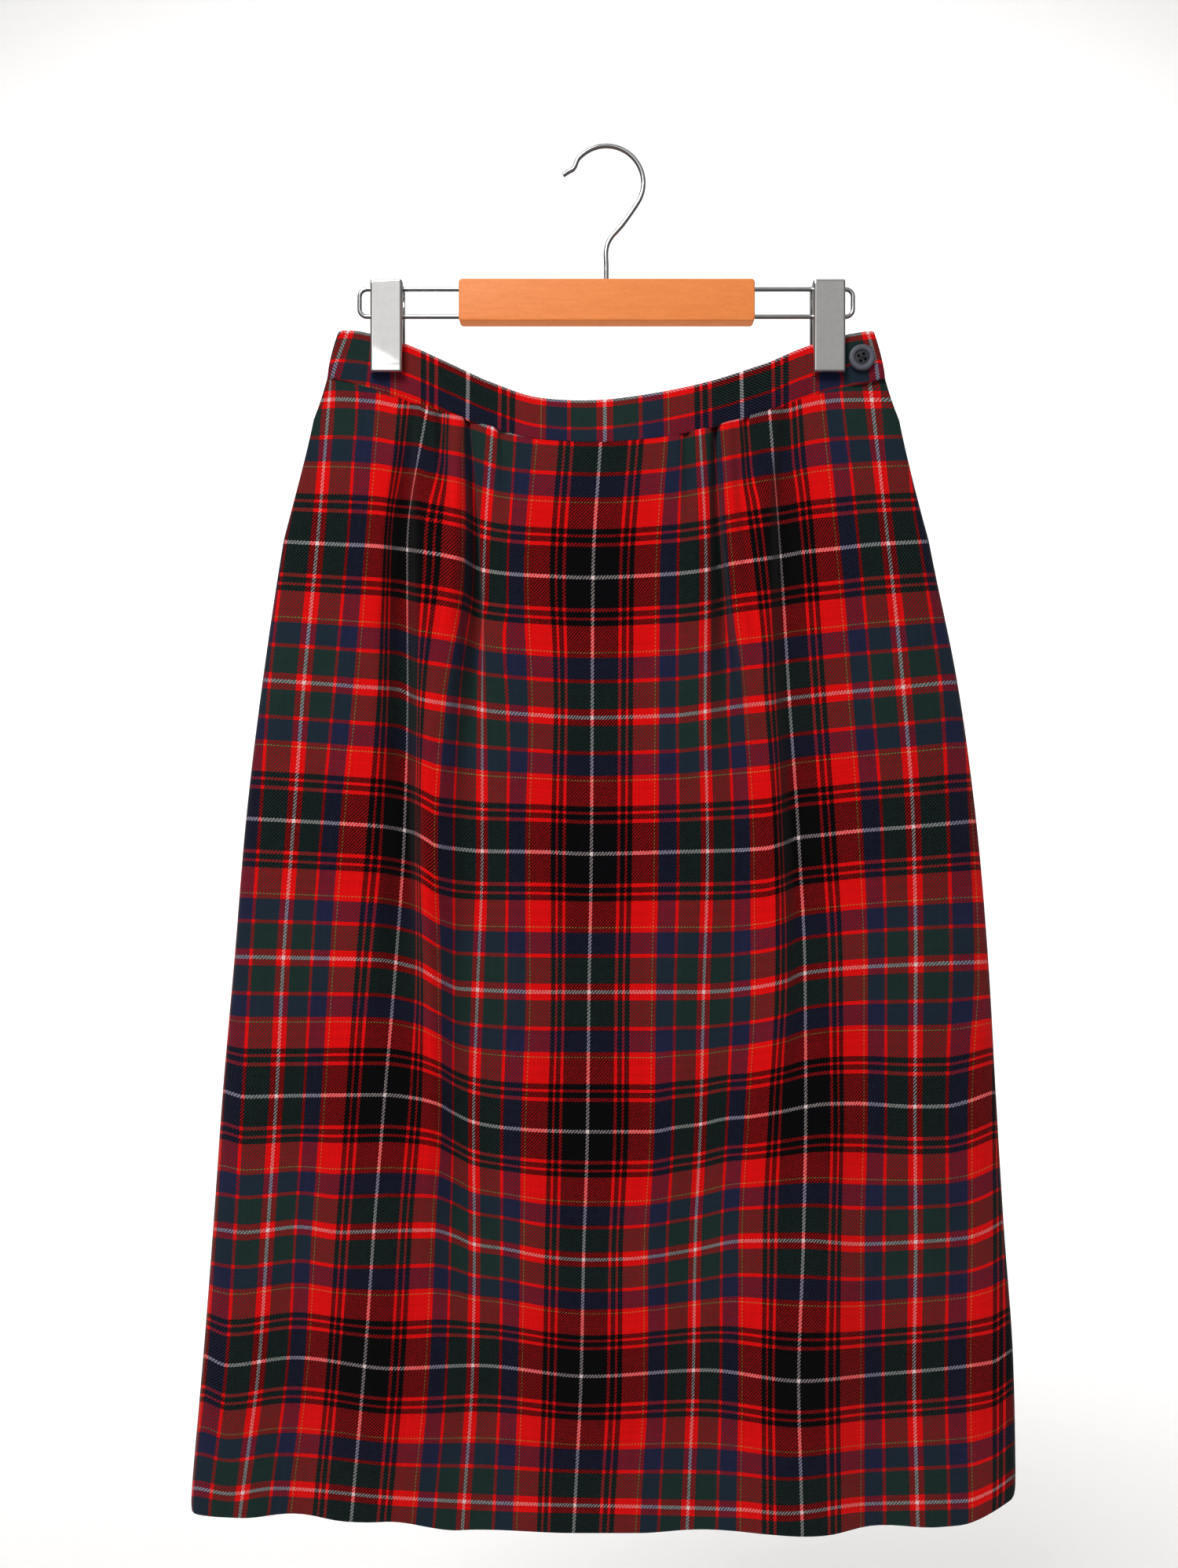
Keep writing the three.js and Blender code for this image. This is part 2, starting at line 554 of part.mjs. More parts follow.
// The band's outer face as a path seen from above: front end, left fold, back, right fold, underlap.
function bandPath() {
  const { left, right, angles } = BAND_FOLD;
  const stops = [];
  const add = (x, topY, seamY, nx, ny, side) => stops.push({ x, topY, seamY, nx, ny, side });
  const turn = (fold, outwards, order) => {
    for (const angle of order) {
      const [c, s] = [Math.cos(degToRad(angle)), Math.sin(degToRad(angle))];
      const y = fold.y + fold.half * s;
      add(fold.x + outwards * fold.reach * c, y, y, outwards * c, s, 'fold');
    }
  };
  const places = [left.x, ...WAIST.slice(1, -1).map((stop) => stop.x), BAND.frontEnd];
  for (const x of fillBetween(places, BAND.widest).reverse()) {
    add(x, readTable(WAIST, 'x', 'topY', x), readTable(WAIST, 'x', 'seamY', x), 0, -1, 'front');
  }
  turn(left, -1, angles);
  for (let n = 0; n <= BAND.backSteps; n += 1) {
    const x = lerp(left.x, right.x, n / BAND.backSteps);
    add(x, backBandY(x), backBandY(x), 0, 1, 'back');
  }
  turn(right, 1, [...angles].reverse());
  const underY = right.y - right.half;
  for (const x of fillBetween([BAND.overlapStart, right.x], 0.8 * BAND.widest).reverse()) {
    add(x, underY, underY, 0, -1, 'underlap');
  }
  return stops;
}

// The band is a little shorter along its top edge, so both of its ends lean in; level is 0 at
// the top edge and 1 at the seam.
function bandTaper(x, level) {
  const most = x < 0 ? BAND.taperLeft : -BAND.taperRight;
  return most * smoothstep(Math.abs(x), BAND.taperFrom, SEAM_EDGES.right) * (1 - level) ** BAND.taperEase;
}

function waistband() {
  const levels = [0, 0.5, 1];
  const outer = levels.map(() => []);
  const inner = levels.map(() => []);
  for (const stop of bandPath()) {
    const x = clamp(stop.x, WAIST[0].x, WAIST[WAIST.length - 1].x);
    const behind = stop.side === 'back' ? clamp(1 - (x / BAND.dipReach) ** 2, 0, 1) : 0;
    const top = readTable(WAIST, 'x', 'topZ', x, true) - BAND.backDip * behind;
    const seam = readTable(WAIST, 'x', 'seamZ', x, true);
    levels.forEach((level, row) => {
      const across = stop.x + bandTaper(x, level);
      const y = lerp(stop.topY, stop.seamY, level);
      const z = lerp(top, seam, level);
      outer[row].push([across, y, z]);
      inner[row].push([across - BAND.wall * stop.nx, y - BAND.wall * stop.ny, z]);
    });
  }
  return wallBetween(outer.map((row) => row.reverse()), inner.map((row) => row.reverse()));
}

// ---------------------------------------------------------------- the button

function button() {
  const { radius, thickness, dishRadius, dishDepth, holeRadius, holePitch, holeTurn, edge, sides } = BUTTON;
  const profile = [
    [0, 0], [radius - edge, 0], [radius, edge], [radius, thickness - edge], [radius - edge, thickness],
    [dishRadius + edge, thickness], [dishRadius, thickness - dishDepth], [0, thickness - dishDepth],
  ];
  const turned = new THREE.LatheGeometry(profile.map(([r, y]) => new THREE.Vector2(r, y)), sides);
  let solid = toManifold(turned);
  for (let n = 0; n < 4; n += 1) {
    const angle = degToRad(holeTurn + 45 + 90 * n);
    const reach = holePitch / Math.SQRT2;
    const hole = cylinder(holeRadius, 3 * thickness, 10, 'y');
    hole.translate(-reach * Math.cos(angle), thickness / 2, reach * Math.sin(angle));
    solid = solid.subtract(toManifold(hole));
  }
  const geometry = fromManifold(solid);
  geometry.rotateZ(Math.PI);
  geometry.translate(BUTTON.x, BUTTON.backY, BUTTON.z);
  return geometry;
}

// ---------------------------------------------------------------- the hanger

// The hook's wire from its tip, over the round crown and the shoulder, down into the bar.
function hookPath() {
  const { wire, crownRadius, crownStart, crownEnd, crownStep, tip, shoulder, stemTop, stemMiddle } = HOOK;
  const crown = [];
  for (let angle = crownEnd; angle >= crownStart; angle -= crownStep) {
    const [c, s] = [Math.cos(degToRad(angle)), Math.sin(degToRad(angle))];
    crown.push([crownRadius * c, wire / 2 - crownRadius + crownRadius * s]);
  }
  const stem = [[0, stemTop], [0, stemMiddle], [0, BAR.top - HOOK.seat + PLAY]];
  const points = [...tip, ...crown, ...shoulder, ...stem].map(([x, z]) => new THREE.Vector3(x, 0, z));
  return new THREE.CatmullRomCurve3(points, false, 'centripetal');
}

function hangerHook() {
  return tube(hookPath(), HOOK.wire / 2, 8, 44);
}

function hangerBar() {
  const { left, right, top, bottom, depth, corner, bevel } = BAR;
  const [x0, x1, z0, z1] = [left + bevel, right - bevel, bottom + bevel, top - bevel];
  const shape = new THREE.Shape();
  shape.moveTo(x0 + corner, z0);
  shape.lineTo(x1 - corner, z0);
  shape.absarc(x1 - corner, z0 + corner, corner, -Math.PI / 2, 0, false);
  shape.lineTo(x1, z1 - corner);
  shape.absarc(x1 - corner, z1 - corner, corner, 0, Math.PI / 2, false);
  shape.lineTo(x0 + corner, z1);
  shape.absarc(x0 + corner, z1 - corner, corner, Math.PI / 2, Math.PI, false);
  shape.lineTo(x0, z0 + corner);
  shape.absarc(x0 + corner, z0 + corner, corner, Math.PI, 1.5 * Math.PI, false);
  const block = new THREE.ExtrudeGeometry(shape, {
    depth: depth - 2 * bevel, bevelEnabled: true, bevelSize: bevel, bevelThickness: bevel,
    bevelSegments: 1, curveSegments: 3,
  });
  block.translate(0, 0, bevel - depth / 2);
  block.rotateX(Math.PI / 2);
  let solid = toManifold(block);
  const drill = (geometry, x, z) => {
    solid = solid.subtract(toManifold(geometry.translate(x, 0, z)));
  };
  drill(cylinder(HOOK.wire / 2 + PLAY, 2 * HOOK.seat, 12, 'z'), 0, top);
  for (const x of [left, right]) {
    for (const z of [LOOP.upperZ, LOOP.lowerZ]) {
      drill(cylinder(LOOP.wire / 2 + PLAY, 2 * LOOP.seat, 12, 'x'), x, z);
    }
  }
  return fromManifold(solid);
}

// One U of wire: two legs seated in the bar's end and a rounded outer end.
function wireLoop(side) {
  const end = side < 0 ? BAR.left : BAR.right;
  const seat = end - side * (LOOP.seat - PLAY);
  const outer = side * LOOP.outer;
  const turn = side * LOOP.corner;
  const path = new THREE.CurvePath();
  const p = (x, z) => new THREE.Vector3(x, 0, z);
  const bend = (a, corner, b) => path.add(new THREE.QuadraticBezierCurve3(a, corner, b));
  path.add(new THREE.LineCurve3(p(seat, LOOP.upperZ), p(outer - turn, LOOP.upperZ)));
  bend(p(outer - turn, LOOP.upperZ), p(outer, LOOP.upperZ), p(outer, LOOP.upperZ - LOOP.corner));
  path.add(new THREE.LineCurve3(p(outer, LOOP.upperZ - LOOP.corner), p(outer, LOOP.lowerZ + LOOP.corner)));
  bend(p(outer, LOOP.lowerZ + LOOP.corner), p(outer, LOOP.lowerZ), p(outer - turn, LOOP.lowerZ));
  path.add(new THREE.LineCurve3(p(outer - turn, LOOP.lowerZ), p(seat, LOOP.lowerZ)));
  return tube(path, LOOP.wire / 2, 8, 48);
}

// One cheek of a clip: a web, two flanges beside the wires and the cloth, and a jaw at the foot.
function clipPlate(centreX, side) {
  const { width, top, bottom, sheet, halfDepth, wireGap, clothGap, jawY, jawHeight, shoulderZ } = CLIP;
  const { footBevel, jawSlope, shoulderSlope, topChamfer, topBack, flangeInset, jawInset } = CLIP;
  const flip = (outline) => (side > 0 ? outline.map(([y, z]) => [-y, z]).reverse() : outline);
  const jawTop = bottom + jawHeight;
  const web = [
    [-halfDepth, top], [-halfDepth, bottom + footBevel], [-halfDepth + footBevel, bottom], [-jawY, bottom],
    [-jawY, jawTop], [-halfDepth + sheet, jawTop + jawSlope], [-halfDepth + sheet, top],
  ];
  const [face, foot] = [-halfDepth + flangeInset, bottom + flangeInset];
  const flange = [
    [face, top], [face, foot + footBevel], [face + footBevel, foot], [-jawY - jawInset, foot],
    [-clothGap, jawTop], [-clothGap, shoulderZ - shoulderSlope],
    [-wireGap, shoulderZ], [-wireGap, top - topChamfer], [-wireGap - topBack, top],
  ];
  const [from, to] = [centreX - width / 2, centreX + width / 2];
  let solid = toManifold(plateAcrossX(flip(web), from, to));
  solid = solid.add(toManifold(plateAcrossX(flip(flange), from, from + sheet)));
  solid = solid.add(toManifold(plateAcrossX(flip(flange), to - sheet, to)));
  return fromManifold(solid);
}

function clipSpring(centreX) {
  const length = CLIP.width - 2 * CLIP.sheet - 2 * PLAY;
  return cylinder(CLIP.springRadius, length, 12, 'x').translate(centreX, 0, CLIP.springZ);
}

// ---------------------------------------------------------------- the whole object

const LOOKS = {
  tartan: look(0x9c1a22, 0.9),
  band: look(0x5a1620, 0.9),
  button: look(0x2b3040, 0.45),
  wood: look(0xf08c45, 0.5),
  wire: look(0xb8b8ba, 0.25, 1),
  clip: look(0xc4c4c2, 0.3, 1),
  spring: look(0x8c8c8e, 0.35, 1),
};

const skirt = new THREE.Group();

function addPiece(name, geometry, material) {
  const mesh = new THREE.Mesh(geometry, material);
  mesh.name = name;
  skirt.add(mesh);
}

addPiece('skirt_front', skirtFront(), LOOKS.tartan);
addPiece('skirt_back', skirtBack(), LOOKS.tartan);
addPiece('waistband', waistband(), LOOKS.band);
addPiece('button', button(), LOOKS.button);
addPiece('hanger_hook', hangerHook(), LOOKS.wire);
addPiece('hanger_bar', hangerBar(), LOOKS.wood);
addPiece('wire_left', wireLoop(-1), LOOKS.wire);
addPiece('wire_right', wireLoop(1), LOOKS.wire);
for (const [name, centreX] of [['clip_left', CLIP.leftX], ['clip_right', CLIP.rightX]]) {
  addPiece(`${name}_front`, clipPlate(centreX, -1), LOOKS.clip);
  addPiece(`${name}_back`, clipPlate(centreX, 1), LOOKS.clip);
  addPiece(`${name}_spring`, clipSpring(centreX), LOOKS.spring);
}

export default skirt;
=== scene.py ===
"""A woollen tartan skirt hanging from a clip hanger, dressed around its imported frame.

Sizes of the object are in millimetres here and turn into metres where a mesh is made.
+X is the viewer's right, the skirt's front faces -Y, and the origin is under the hook's crown.
"""

import logging
import math
from dataclasses import dataclass
from enum import Enum
from typing import Iterable, Optional, Sequence, Union

import bmesh
import bpy
import numpy as np
from mathutils import Matrix, Vector


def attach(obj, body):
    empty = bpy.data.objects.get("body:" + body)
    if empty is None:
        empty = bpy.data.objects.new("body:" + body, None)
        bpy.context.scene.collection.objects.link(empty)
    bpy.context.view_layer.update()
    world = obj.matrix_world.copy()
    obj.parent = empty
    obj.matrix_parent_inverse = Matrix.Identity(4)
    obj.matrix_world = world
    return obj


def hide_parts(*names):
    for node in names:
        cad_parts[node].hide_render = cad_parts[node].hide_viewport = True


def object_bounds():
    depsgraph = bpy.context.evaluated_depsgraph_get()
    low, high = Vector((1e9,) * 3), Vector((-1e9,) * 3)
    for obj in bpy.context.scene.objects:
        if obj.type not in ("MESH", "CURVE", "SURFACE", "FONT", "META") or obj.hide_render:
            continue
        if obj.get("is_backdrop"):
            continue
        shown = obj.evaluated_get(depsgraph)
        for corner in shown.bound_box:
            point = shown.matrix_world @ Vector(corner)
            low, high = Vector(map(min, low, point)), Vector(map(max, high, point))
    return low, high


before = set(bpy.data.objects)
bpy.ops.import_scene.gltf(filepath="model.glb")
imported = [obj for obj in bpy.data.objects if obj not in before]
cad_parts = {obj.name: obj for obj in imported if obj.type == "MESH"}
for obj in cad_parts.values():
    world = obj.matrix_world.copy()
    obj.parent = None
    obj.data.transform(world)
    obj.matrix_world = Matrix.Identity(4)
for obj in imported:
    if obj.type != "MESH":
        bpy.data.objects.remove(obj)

CAD_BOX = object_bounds()
MM = 0.001
BODY = "root"
log = logging.getLogger("skirt")

Array = np.ndarray
Colour = tuple[float, float, float]


# ---------------------------------------------------------------- the skirt's tables

WALL = 1.5
SEAM_GAP = 0.3
BAND_WALL = 2.0
HEM_SEAM_Y = 1.5
SEAM_Z = -185.6
SEAM_Y = -13.0

# The waist between the clips: x, top edge, seam, and the front's outer face at both.
WAIST_COLUMNS = ("x", "topZ", "seamZ", "topY", "seamY")
WAIST = np.array([
    (-173.2, -113.3, -143.0, -2.5, -2.5),
    (-150, -115.0, -149.0, -2.4, -2.4),
    (-124, -122.0, -157.9, -2.4, -2.5),
    (-100, -132.8, -166.0, -3.0, -6.0),
    (-75, -144.6, -175.0, -3.8, -9.4),
    (-45, -155.2, -183.0, -4.7, -12.0),
    (-8, -157.5, -185.6, -5.2, -13.0),
    (30, -153.0, -183.0, -5.0, -12.4),
    (65, -145.2, -176.0, -4.0, -10.2),
    (100, -133.8, -165.6, -3.0, -6.0),
    (126, -122.8, -156.4, -2.4, -2.5),
    (149, -116.8, -149.5, -2.4, -2.4),
    (158, -115.8, -147.4, -4.6, -4.6),
    (173.2, -114.3, -144.0, -4.6, -4.6),
])

# One section for each line of the check, and the hem: height and depth at the middle, both side
# edges, the rise to each edge, where its step comes, the step's share, and the line's weft place.
SECTION_COLUMNS = ("z", "y", "left", "right", "riseL", "riseR", "stepL", "stepR", "shareL", "shareR", "weft")
SECTIONS = np.array([
    (-268.7, -19, -200.4, 200.2, 24.5, 25.0, 88, 92, 0.55, 0.55, 84.6),
    (-354.5, -22, -213.6, 218.2, 23.0, 22.5, 104, 104, 0.62, 0.62, 169.2),
    (-437.3, -24, -223.8, 230.0, 21.0, 19.0, 110, 112, 0.68, 0.68, 253.8),
    (-520.7, -25, -231.0, 237.4, 18.7, 17.0, 106, 112, 0.72, 0.72, 338.4),
    (-604.9, -25, -238.4, 242.2, 18.6, 17.5, 98, 100, 0.74, 0.74, 423.0),
    (-682.8, -23, -244.4, 247.2, 12.8, 13.5, 88, 84, 0.7, 0.7, 507.6),
    (-755.0, -19, -250.4, 252.8, 7.5, 9.0, 92, 110, 0.45, 0.45, 592.2),
    (-835.0, -16, -257.6, 254.6, 4.4, 14.0, 112, 238, 2.1, 0.8, 676.8),
    (-851.4, -15.5, -257.8, 253.8, 4.6, 16.0, 112, 240, 2.1, 0.8, 693.2),
])
# How deep the back stands behind the side seams at each height.
BACK_DEPTH = np.array([(-180, 5.5), (-270, 10.5), (-440, 14), (-610, 15), (-760, 13), (-860, 12)])
# The side edges between the waist's seam and the first section: height, left and right.
HIP_ROW = (-212, -181.4, 181.6)


def section(column: str) -> Array:
    """A column of the sections' table."""
    return SECTIONS[:, SECTION_COLUMNS.index(column)]


HEM_Z = float(section("z")[-1])
WAIST_LEFT = float(WAIST[0, 0])
WAIST_RIGHT = float(WAIST[-1, 0])
SIDE_EDGES = np.vstack([
    (SEAM_Z, WAIST_LEFT, WAIST_RIGHT),
    HIP_ROW,
    np.column_stack([section("z"), section("left"), section("right")]),
])


FOLD_COLUMNS = ("z", "valley", "depth", "outer", "inner", "slip")


@dataclass(frozen=True)
class Fold:
    """One fold of a panel, from its top to the hem.

    Each stop holds z, the valley's x, its depth towards the other panel (negative is a ridge),
    its half width away from the middle and towards it, and how far its floor slips away from
    the middle (negative is towards it). An anchor holds a column of the panel's mesh. A crisp
    fold, up to 1, turns in sharply at its edges instead of rolling over.
    """

    name: str
    stops: tuple[tuple[float, float, float, float, float, float], ...]
    anchor: bool = False
    crisp: float = 0.0

    def column(self, name: str, z: Array) -> Array:
        """One column of the stops, read at heights z."""
        table = np.array(self.stops)
        return np.interp(-z, -table[:, 0], table[:, FOLD_COLUMNS.index(name)])

    @property
    def top_x(self) -> float:
        """Where the fold starts across the seam."""
        return float(self.stops[0][1])

    @property
    def top_width(self) -> float:
        """How wide the fold is where it starts."""
        return float(self.stops[0][3] + self.stops[0][4])


FRONT_FOLDS = (
    Fold("inner_tuck_left", (
        (-172, -84, 2, 6, 8, 0), (-215, -81.5, 3, 10, 14, 0), (-270, -80.5, 4, 14, 18, 0),
        (-350, -82, 7, 14, 16, 0), (-440, -85, 8, 24, 26, 0), (-600, -84, 9, 26, 40, 0),
        (-740, -80, 5, 34, 50, 0), (-860, -80, 4, 36, 62, 0)), anchor=True),
    Fold("inner_ridge_left", (
        (-160, -93, 0, 5, 5, 0), (-180, -92, -2.5, 7, 7, 0), (-215, -91.5, -4.5, 8, 8, 0),
        (-262, -91, -4.5, 10, 9, 0), (-310, -92, -3, 14, 10, 0), (-360, -93, 0, 18, 12, 0))),
    Fold("inner_ridge_right", (
        (-160, 74, 0, 5, 5, 0), (-182, 74.5, -2.5, 7, 7, 0), (-215, 75, -4.5, 8, 8, 0),
        (-262, 77, -4.5, 9, 10, 0), (-310, 81, -3, 10, 14, 0), (-360, 84, 0, 12, 18, 0))),
    Fold("inner_slot_left", (
        (-170, -86, 5, 2.2, 2.2, -0.6), (-185, -85, 7, 2.5, 2.6, -0.8), (-205, -83.5, 8.3, 3, 3.1, -1.1),
        (-235, -82, 10.2, 3.6, 4, -1.5), (-262, -82, 12.3, 4.6, 5.2, -2), (-300, -82, 10.5, 6.5, 7.5, -2),
        (-345, -82, 4, 12, 12, -1), (-380, -82.5, 0, 14, 14, 0)), crisp=1.0),
    Fold("outer_tuck_left", (
        (-158, -120, 2.2, 5, 5, 0), (-215, -124.5, 9, 12, 10, 0), (-300, -124.5, 13, 17, 12, 1),
        (-440, -121, 14, 20, 12, 2), (-530, -119, 9, 24, 16, 0), (-640, -118, 1, 24, 20, 0),
        (-860, -118, 0, 24, 20, 0)), anchor=True),
    Fold("inner_tuck_right", (
        (-176, 67, 2, 6, 6, 0), (-215, 67.5, 3, 10, 12, 0), (-270, 68.5, 4, 14, 16, 0),
        (-350, 76, 6, 13, 18, 0), (-440, 82, 5, 22, 30, 0), (-600, 70, 5, 34, 40, 0),
        (-740, 58, 5, 40, 44, 0), (-860, 58, 4, 40, 40, 0)), anchor=True),
    Fold("inner_slot_right", (
        (-172, 66.5, 5, 2.2, 2.2, 0.6), (-186, 66.5, 7, 2.6, 2.5, 0.8), (-205, 66.5, 8.3, 3.1, 3, 1.1),
        (-235, 67, 10.2, 4, 3.8, 1.5), (-262, 68, 12.3, 5.2, 5, 2), (-300, 70, 10.5, 7.2, 7.2, 2),
        (-345, 75, 4, 12, 13, 1), (-380, 78, 0, 14, 14, 0)), crisp=1.0),
    Fold("outer_tuck_right", (
        (-162, 111, 2.8, 6, 6, 0), (-215, 108, 8, 13, 9, 0), (-300, 110, 11, 16, 12, 0),
        (-440, 115, 11, 20, 13, 1), (-530, 118, 8, 24, 16, 0), (-640, 112, 3, 24, 24, 0),
        (-860, 100, 0, 24, 24, 0)), anchor=True),
    Fold("short_gather_left", (
        (-165, -102, 3.2, 4.5, 4.5, 1), (-185, -101, 3.6, 5, 5, 1), (-225, -101, 0, 6, 6, 0))),
    Fold("small_gather_left", (
        (-178, -64, 3, 4.5, 4.5, 1), (-198, -63, 2.6, 5, 5, 0), (-235, -62, 0, 6, 6, 0))),
    Fold("small_gather_right", (
        (-180, 48, 3, 4.5, 4.5, 1), (-200, 49, 2.6, 5, 5, 0), (-240, 50, 0, 6, 6, 0))),
    Fold("short_gather_right", (
        (-168, 85, 3.4, 4.5, 4.5, 1), (-188, 87, 3.8, 5, 5, 1), (-240, 90, 0, 6, 6, 0))),
    Fold("ridge_left", (
        (-190, -102, 0, 16, 16, 0), (-300, -103, -4, 18, 16, 0), (-450, -106, -6, 18, 24, 0),
        (-600, -118, -5, 34, 34, 0), (-740, -142, -4, 44, 44, 0), (-860, -145, -5, 44, 44, 0))),
    Fold("ridge_right", (
        (-190, 90, 0, 16, 16, 0), (-300, 92, -3.5, 16, 16, 0), (-450, 98, -4, 18, 24, 0),
        (-600, 124, -4, 34, 34, 0), (-740, 122, -5, 44, 44, 0), (-860, 122, -5, 44, 44, 0))),
    Fold("hem_ripple_left", (
        (-560, -190, 0, 30, 30, 0), (-760, -194, 5, 30, 34, 0), (-860, -194, 6, 30, 34, 0))),
    Fold("hem_ripple_right", (
        (-560, 160, 0, 36, 36, 0), (-760, 168, 5, 36, 36, 0), (-860, 168, 6, 36, 36, 0))),
)

BACK_FOLDS = (
    Fold("back_tuck_left", (
        (-160, -92, 2.5, 6, 6, 0), (-230, -92, 6, 12, 12, 0), (-430, -96, 6, 24, 24, 0),
        (-860, -104, 3, 40, 40, 0)), anchor=True),
    Fold("back_tuck_right", (
        (-160, 86, 2.5, 6, 6, 0), (-230, 86, 6.5, 12, 12, 0), (-430, 92, 6, 24, 24, 0),
        (-860, 100, 3, 40, 40, 0)), anchor=True),
    Fold("back_ripple_left", (
        (-200, -30, 0, 24, 24, 0), (-500, -36, 3, 34, 34, 0), (-860, -40, 5, 36, 36, 0))),
    Fold("back_ripple_right", (
        (-260, 150, 0, 24, 24, 0), (-560, 158, 4, 34, 34, 0), (-860, 160, 6, 36, 36, 0))),
    Fold("back_ridge", (
        (-300, 30, 0, 40, 40, 0), (-600, 34, -4, 44, 44, 0), (-860, 36, -4, 44, 44, 0))),
)


# ---------------------------------------------------------------- reading tables and curves

def smoothstep(at: Array, low: float, high: float) -> Array:
    """A soft step from 0 at low to 1 at high."""
    share = np.clip((at - low) / (high - low), 0, 1)
    return share * share * (3 - 2 * share)


def ease(keys: Array, values: Array, at: Array) -> Array:
    """A smooth line through a table's values, with a slope of half the step between neighbours.

    Args:
        keys: The key column, rising or falling.
        values: One value for each key, or one row of values for each key.
        at: Where to read: any shape for a plain column, one per column for rows of values.

    Returns:
        The values read, of the same shape as at.
    """
    if keys[-1] < keys[0]:
        keys, at = -keys, -np.asarray(at, float)
    at = np.asarray(at, float)
    i = np.clip(np.searchsorted(keys[1:-1], at, side="left"), 0, len(keys) - 2)
    share = np.clip((at - keys[i]) / (keys[i + 1] - keys[i]), 0, 1)
    last = len(keys) - 1
    if values.ndim == 1:
        pick = values.__getitem__
    else:
        lanes = np.arange(values.shape[1])
        pick = lambda rows: values[rows, lanes]
    p, q = pick(i), pick(i + 1)
    m = (q - pick(np.maximum(i - 1, 0))) / 2
    n = (pick(np.minimum(i + 2, last)) - p) / 2
    s2 = share * share
    s3 = s2 * share
    return (2 * s3 - 3 * s2 + 1) * p + (s3 - 2 * s2 + share) * m + (3 * s2 - 2 * s3) * q + (s3 - s2) * n


def waist(column: str, x: Array, smooth: bool = True) -> Array:
    """A column of the waist's table, read across at x."""
    values = WAIST[:, WAIST_COLUMNS.index(column)]
    return ease(WAIST[:, 0], values, x) if smooth else np.interp(x, WAIST[:, 0], values)


def monotone(knots: Array, values: Array, at: Array) -> Array:
    """A line through rising knots that never overshoots them, straight past both ends.

    Args:
        knots: Where the values stand, one row for each place read.
        values: The values at the knots, of the same shape.
        at: One place to read in each row.

    Returns:
        One value for each row.
    """
    lanes = np.arange(len(at))
    gaps = np.maximum(np.diff(knots, axis=1), 1e-6)
    slopes = np.diff(values, axis=1) / gaps
    before, after = slopes[:, :-1], slopes[:, 1:]
    both = before * after > 0
    inner = np.where(both, 2 * before * after / np.where(both, before + after, 1), 0)
    tangents = np.hstack([slopes[:, :1], inner, slopes[:, -1:]])
    i = np.clip((knots[:, 1:-1] < at[:, None]).sum(axis=1), 0, gaps.shape[1] - 1)
    gap = gaps[lanes, i]
    share = (at - knots[lanes, i]) / gap
    inside = np.clip(share, 0, 1)
    s2, s3 = inside ** 2, inside ** 3
    curve = ((2 * s3 - 3 * s2 + 1) * values[lanes, i] + (s3 - 2 * s2 + inside) * gap * tangents[lanes, i]
             + (3 * s2 - 2 * s3) * values[lanes, i + 1] + (s3 - s2) * gap * tangents[lanes, i + 1])
    past = (share - inside) * gap * np.where(share > 0.5, tangents[lanes, i + 1], tangents[lanes, i])
    return curve + past


def along(points: Array) -> Array:
    """The length run at each point of a line."""
    steps = np.linalg.norm(np.diff(points, axis=0), axis=1)
    return np.concatenate([[0.0], np.cumsum(steps)])


# ---------------------------------------------------------------- shader sockets as numbers

Number = Union[float, int, "Wire"]
Paint = Union[Colour, "Wire"]


class Wire:
    """A shader socket that takes part in plain arithmetic."""

    def __init__(self, sheet: "NodeSheet", socket: bpy.types.NodeSocket) -> None:
        """Wraps a socket of a node sheet."""
        self.sheet = sheet
        self.socket = socket

    def _with(self, operation: str, first: Number, second: Number) -> "Wire":
        """Adds one Math node."""
        node = self.sheet.add("ShaderNodeMath", {"operation": operation}, {0: first, 1: second})
        return Wire(self.sheet, node.outputs[0])

    def __add__(self, other: Number) -> "Wire":
        """self + other."""
        return self._with("ADD", self, other)

    def __radd__(self, other: Number) -> "Wire":
        """other + self."""
        return self._with("ADD", other, self)

    def __sub__(self, other: Number) -> "Wire":
        """self - other."""
        return self._with("SUBTRACT", self, other)

    def __rsub__(self, other: Number) -> "Wire":
        """other - self."""
        return self._with("SUBTRACT", other, self)

    def __mul__(self, other: Number) -> "Wire":
        """self * other."""
        return self._with("MULTIPLY", self, other)

    def __rmul__(self, other: Number) -> "Wire":
        """other * self."""
        return self._with("MULTIPLY", other, self)

    def __truediv__(self, other: Number) -> "Wire":
        """self / other."""
        return self._with("DIVIDE", self, other)

    def __mod__(self, other: Number) -> "Wire":
        """self modulo other, never negative."""
        return self._with("FLOORED_MODULO", self, other)

    def __lt__(self, other: Number) -> "Wire":
        """1 where self is less than other, else 0."""
        return self._with("LESS_THAN", self, other)

    def floor(self) -> "Wire":
        """The whole number below."""
        return self._with("FLOOR", self, 0.0)

    def fold(self, scale: float) -> "Wire":
        """Back and forth between 0 and scale."""
        return self._with("PINGPONG", self, scale)


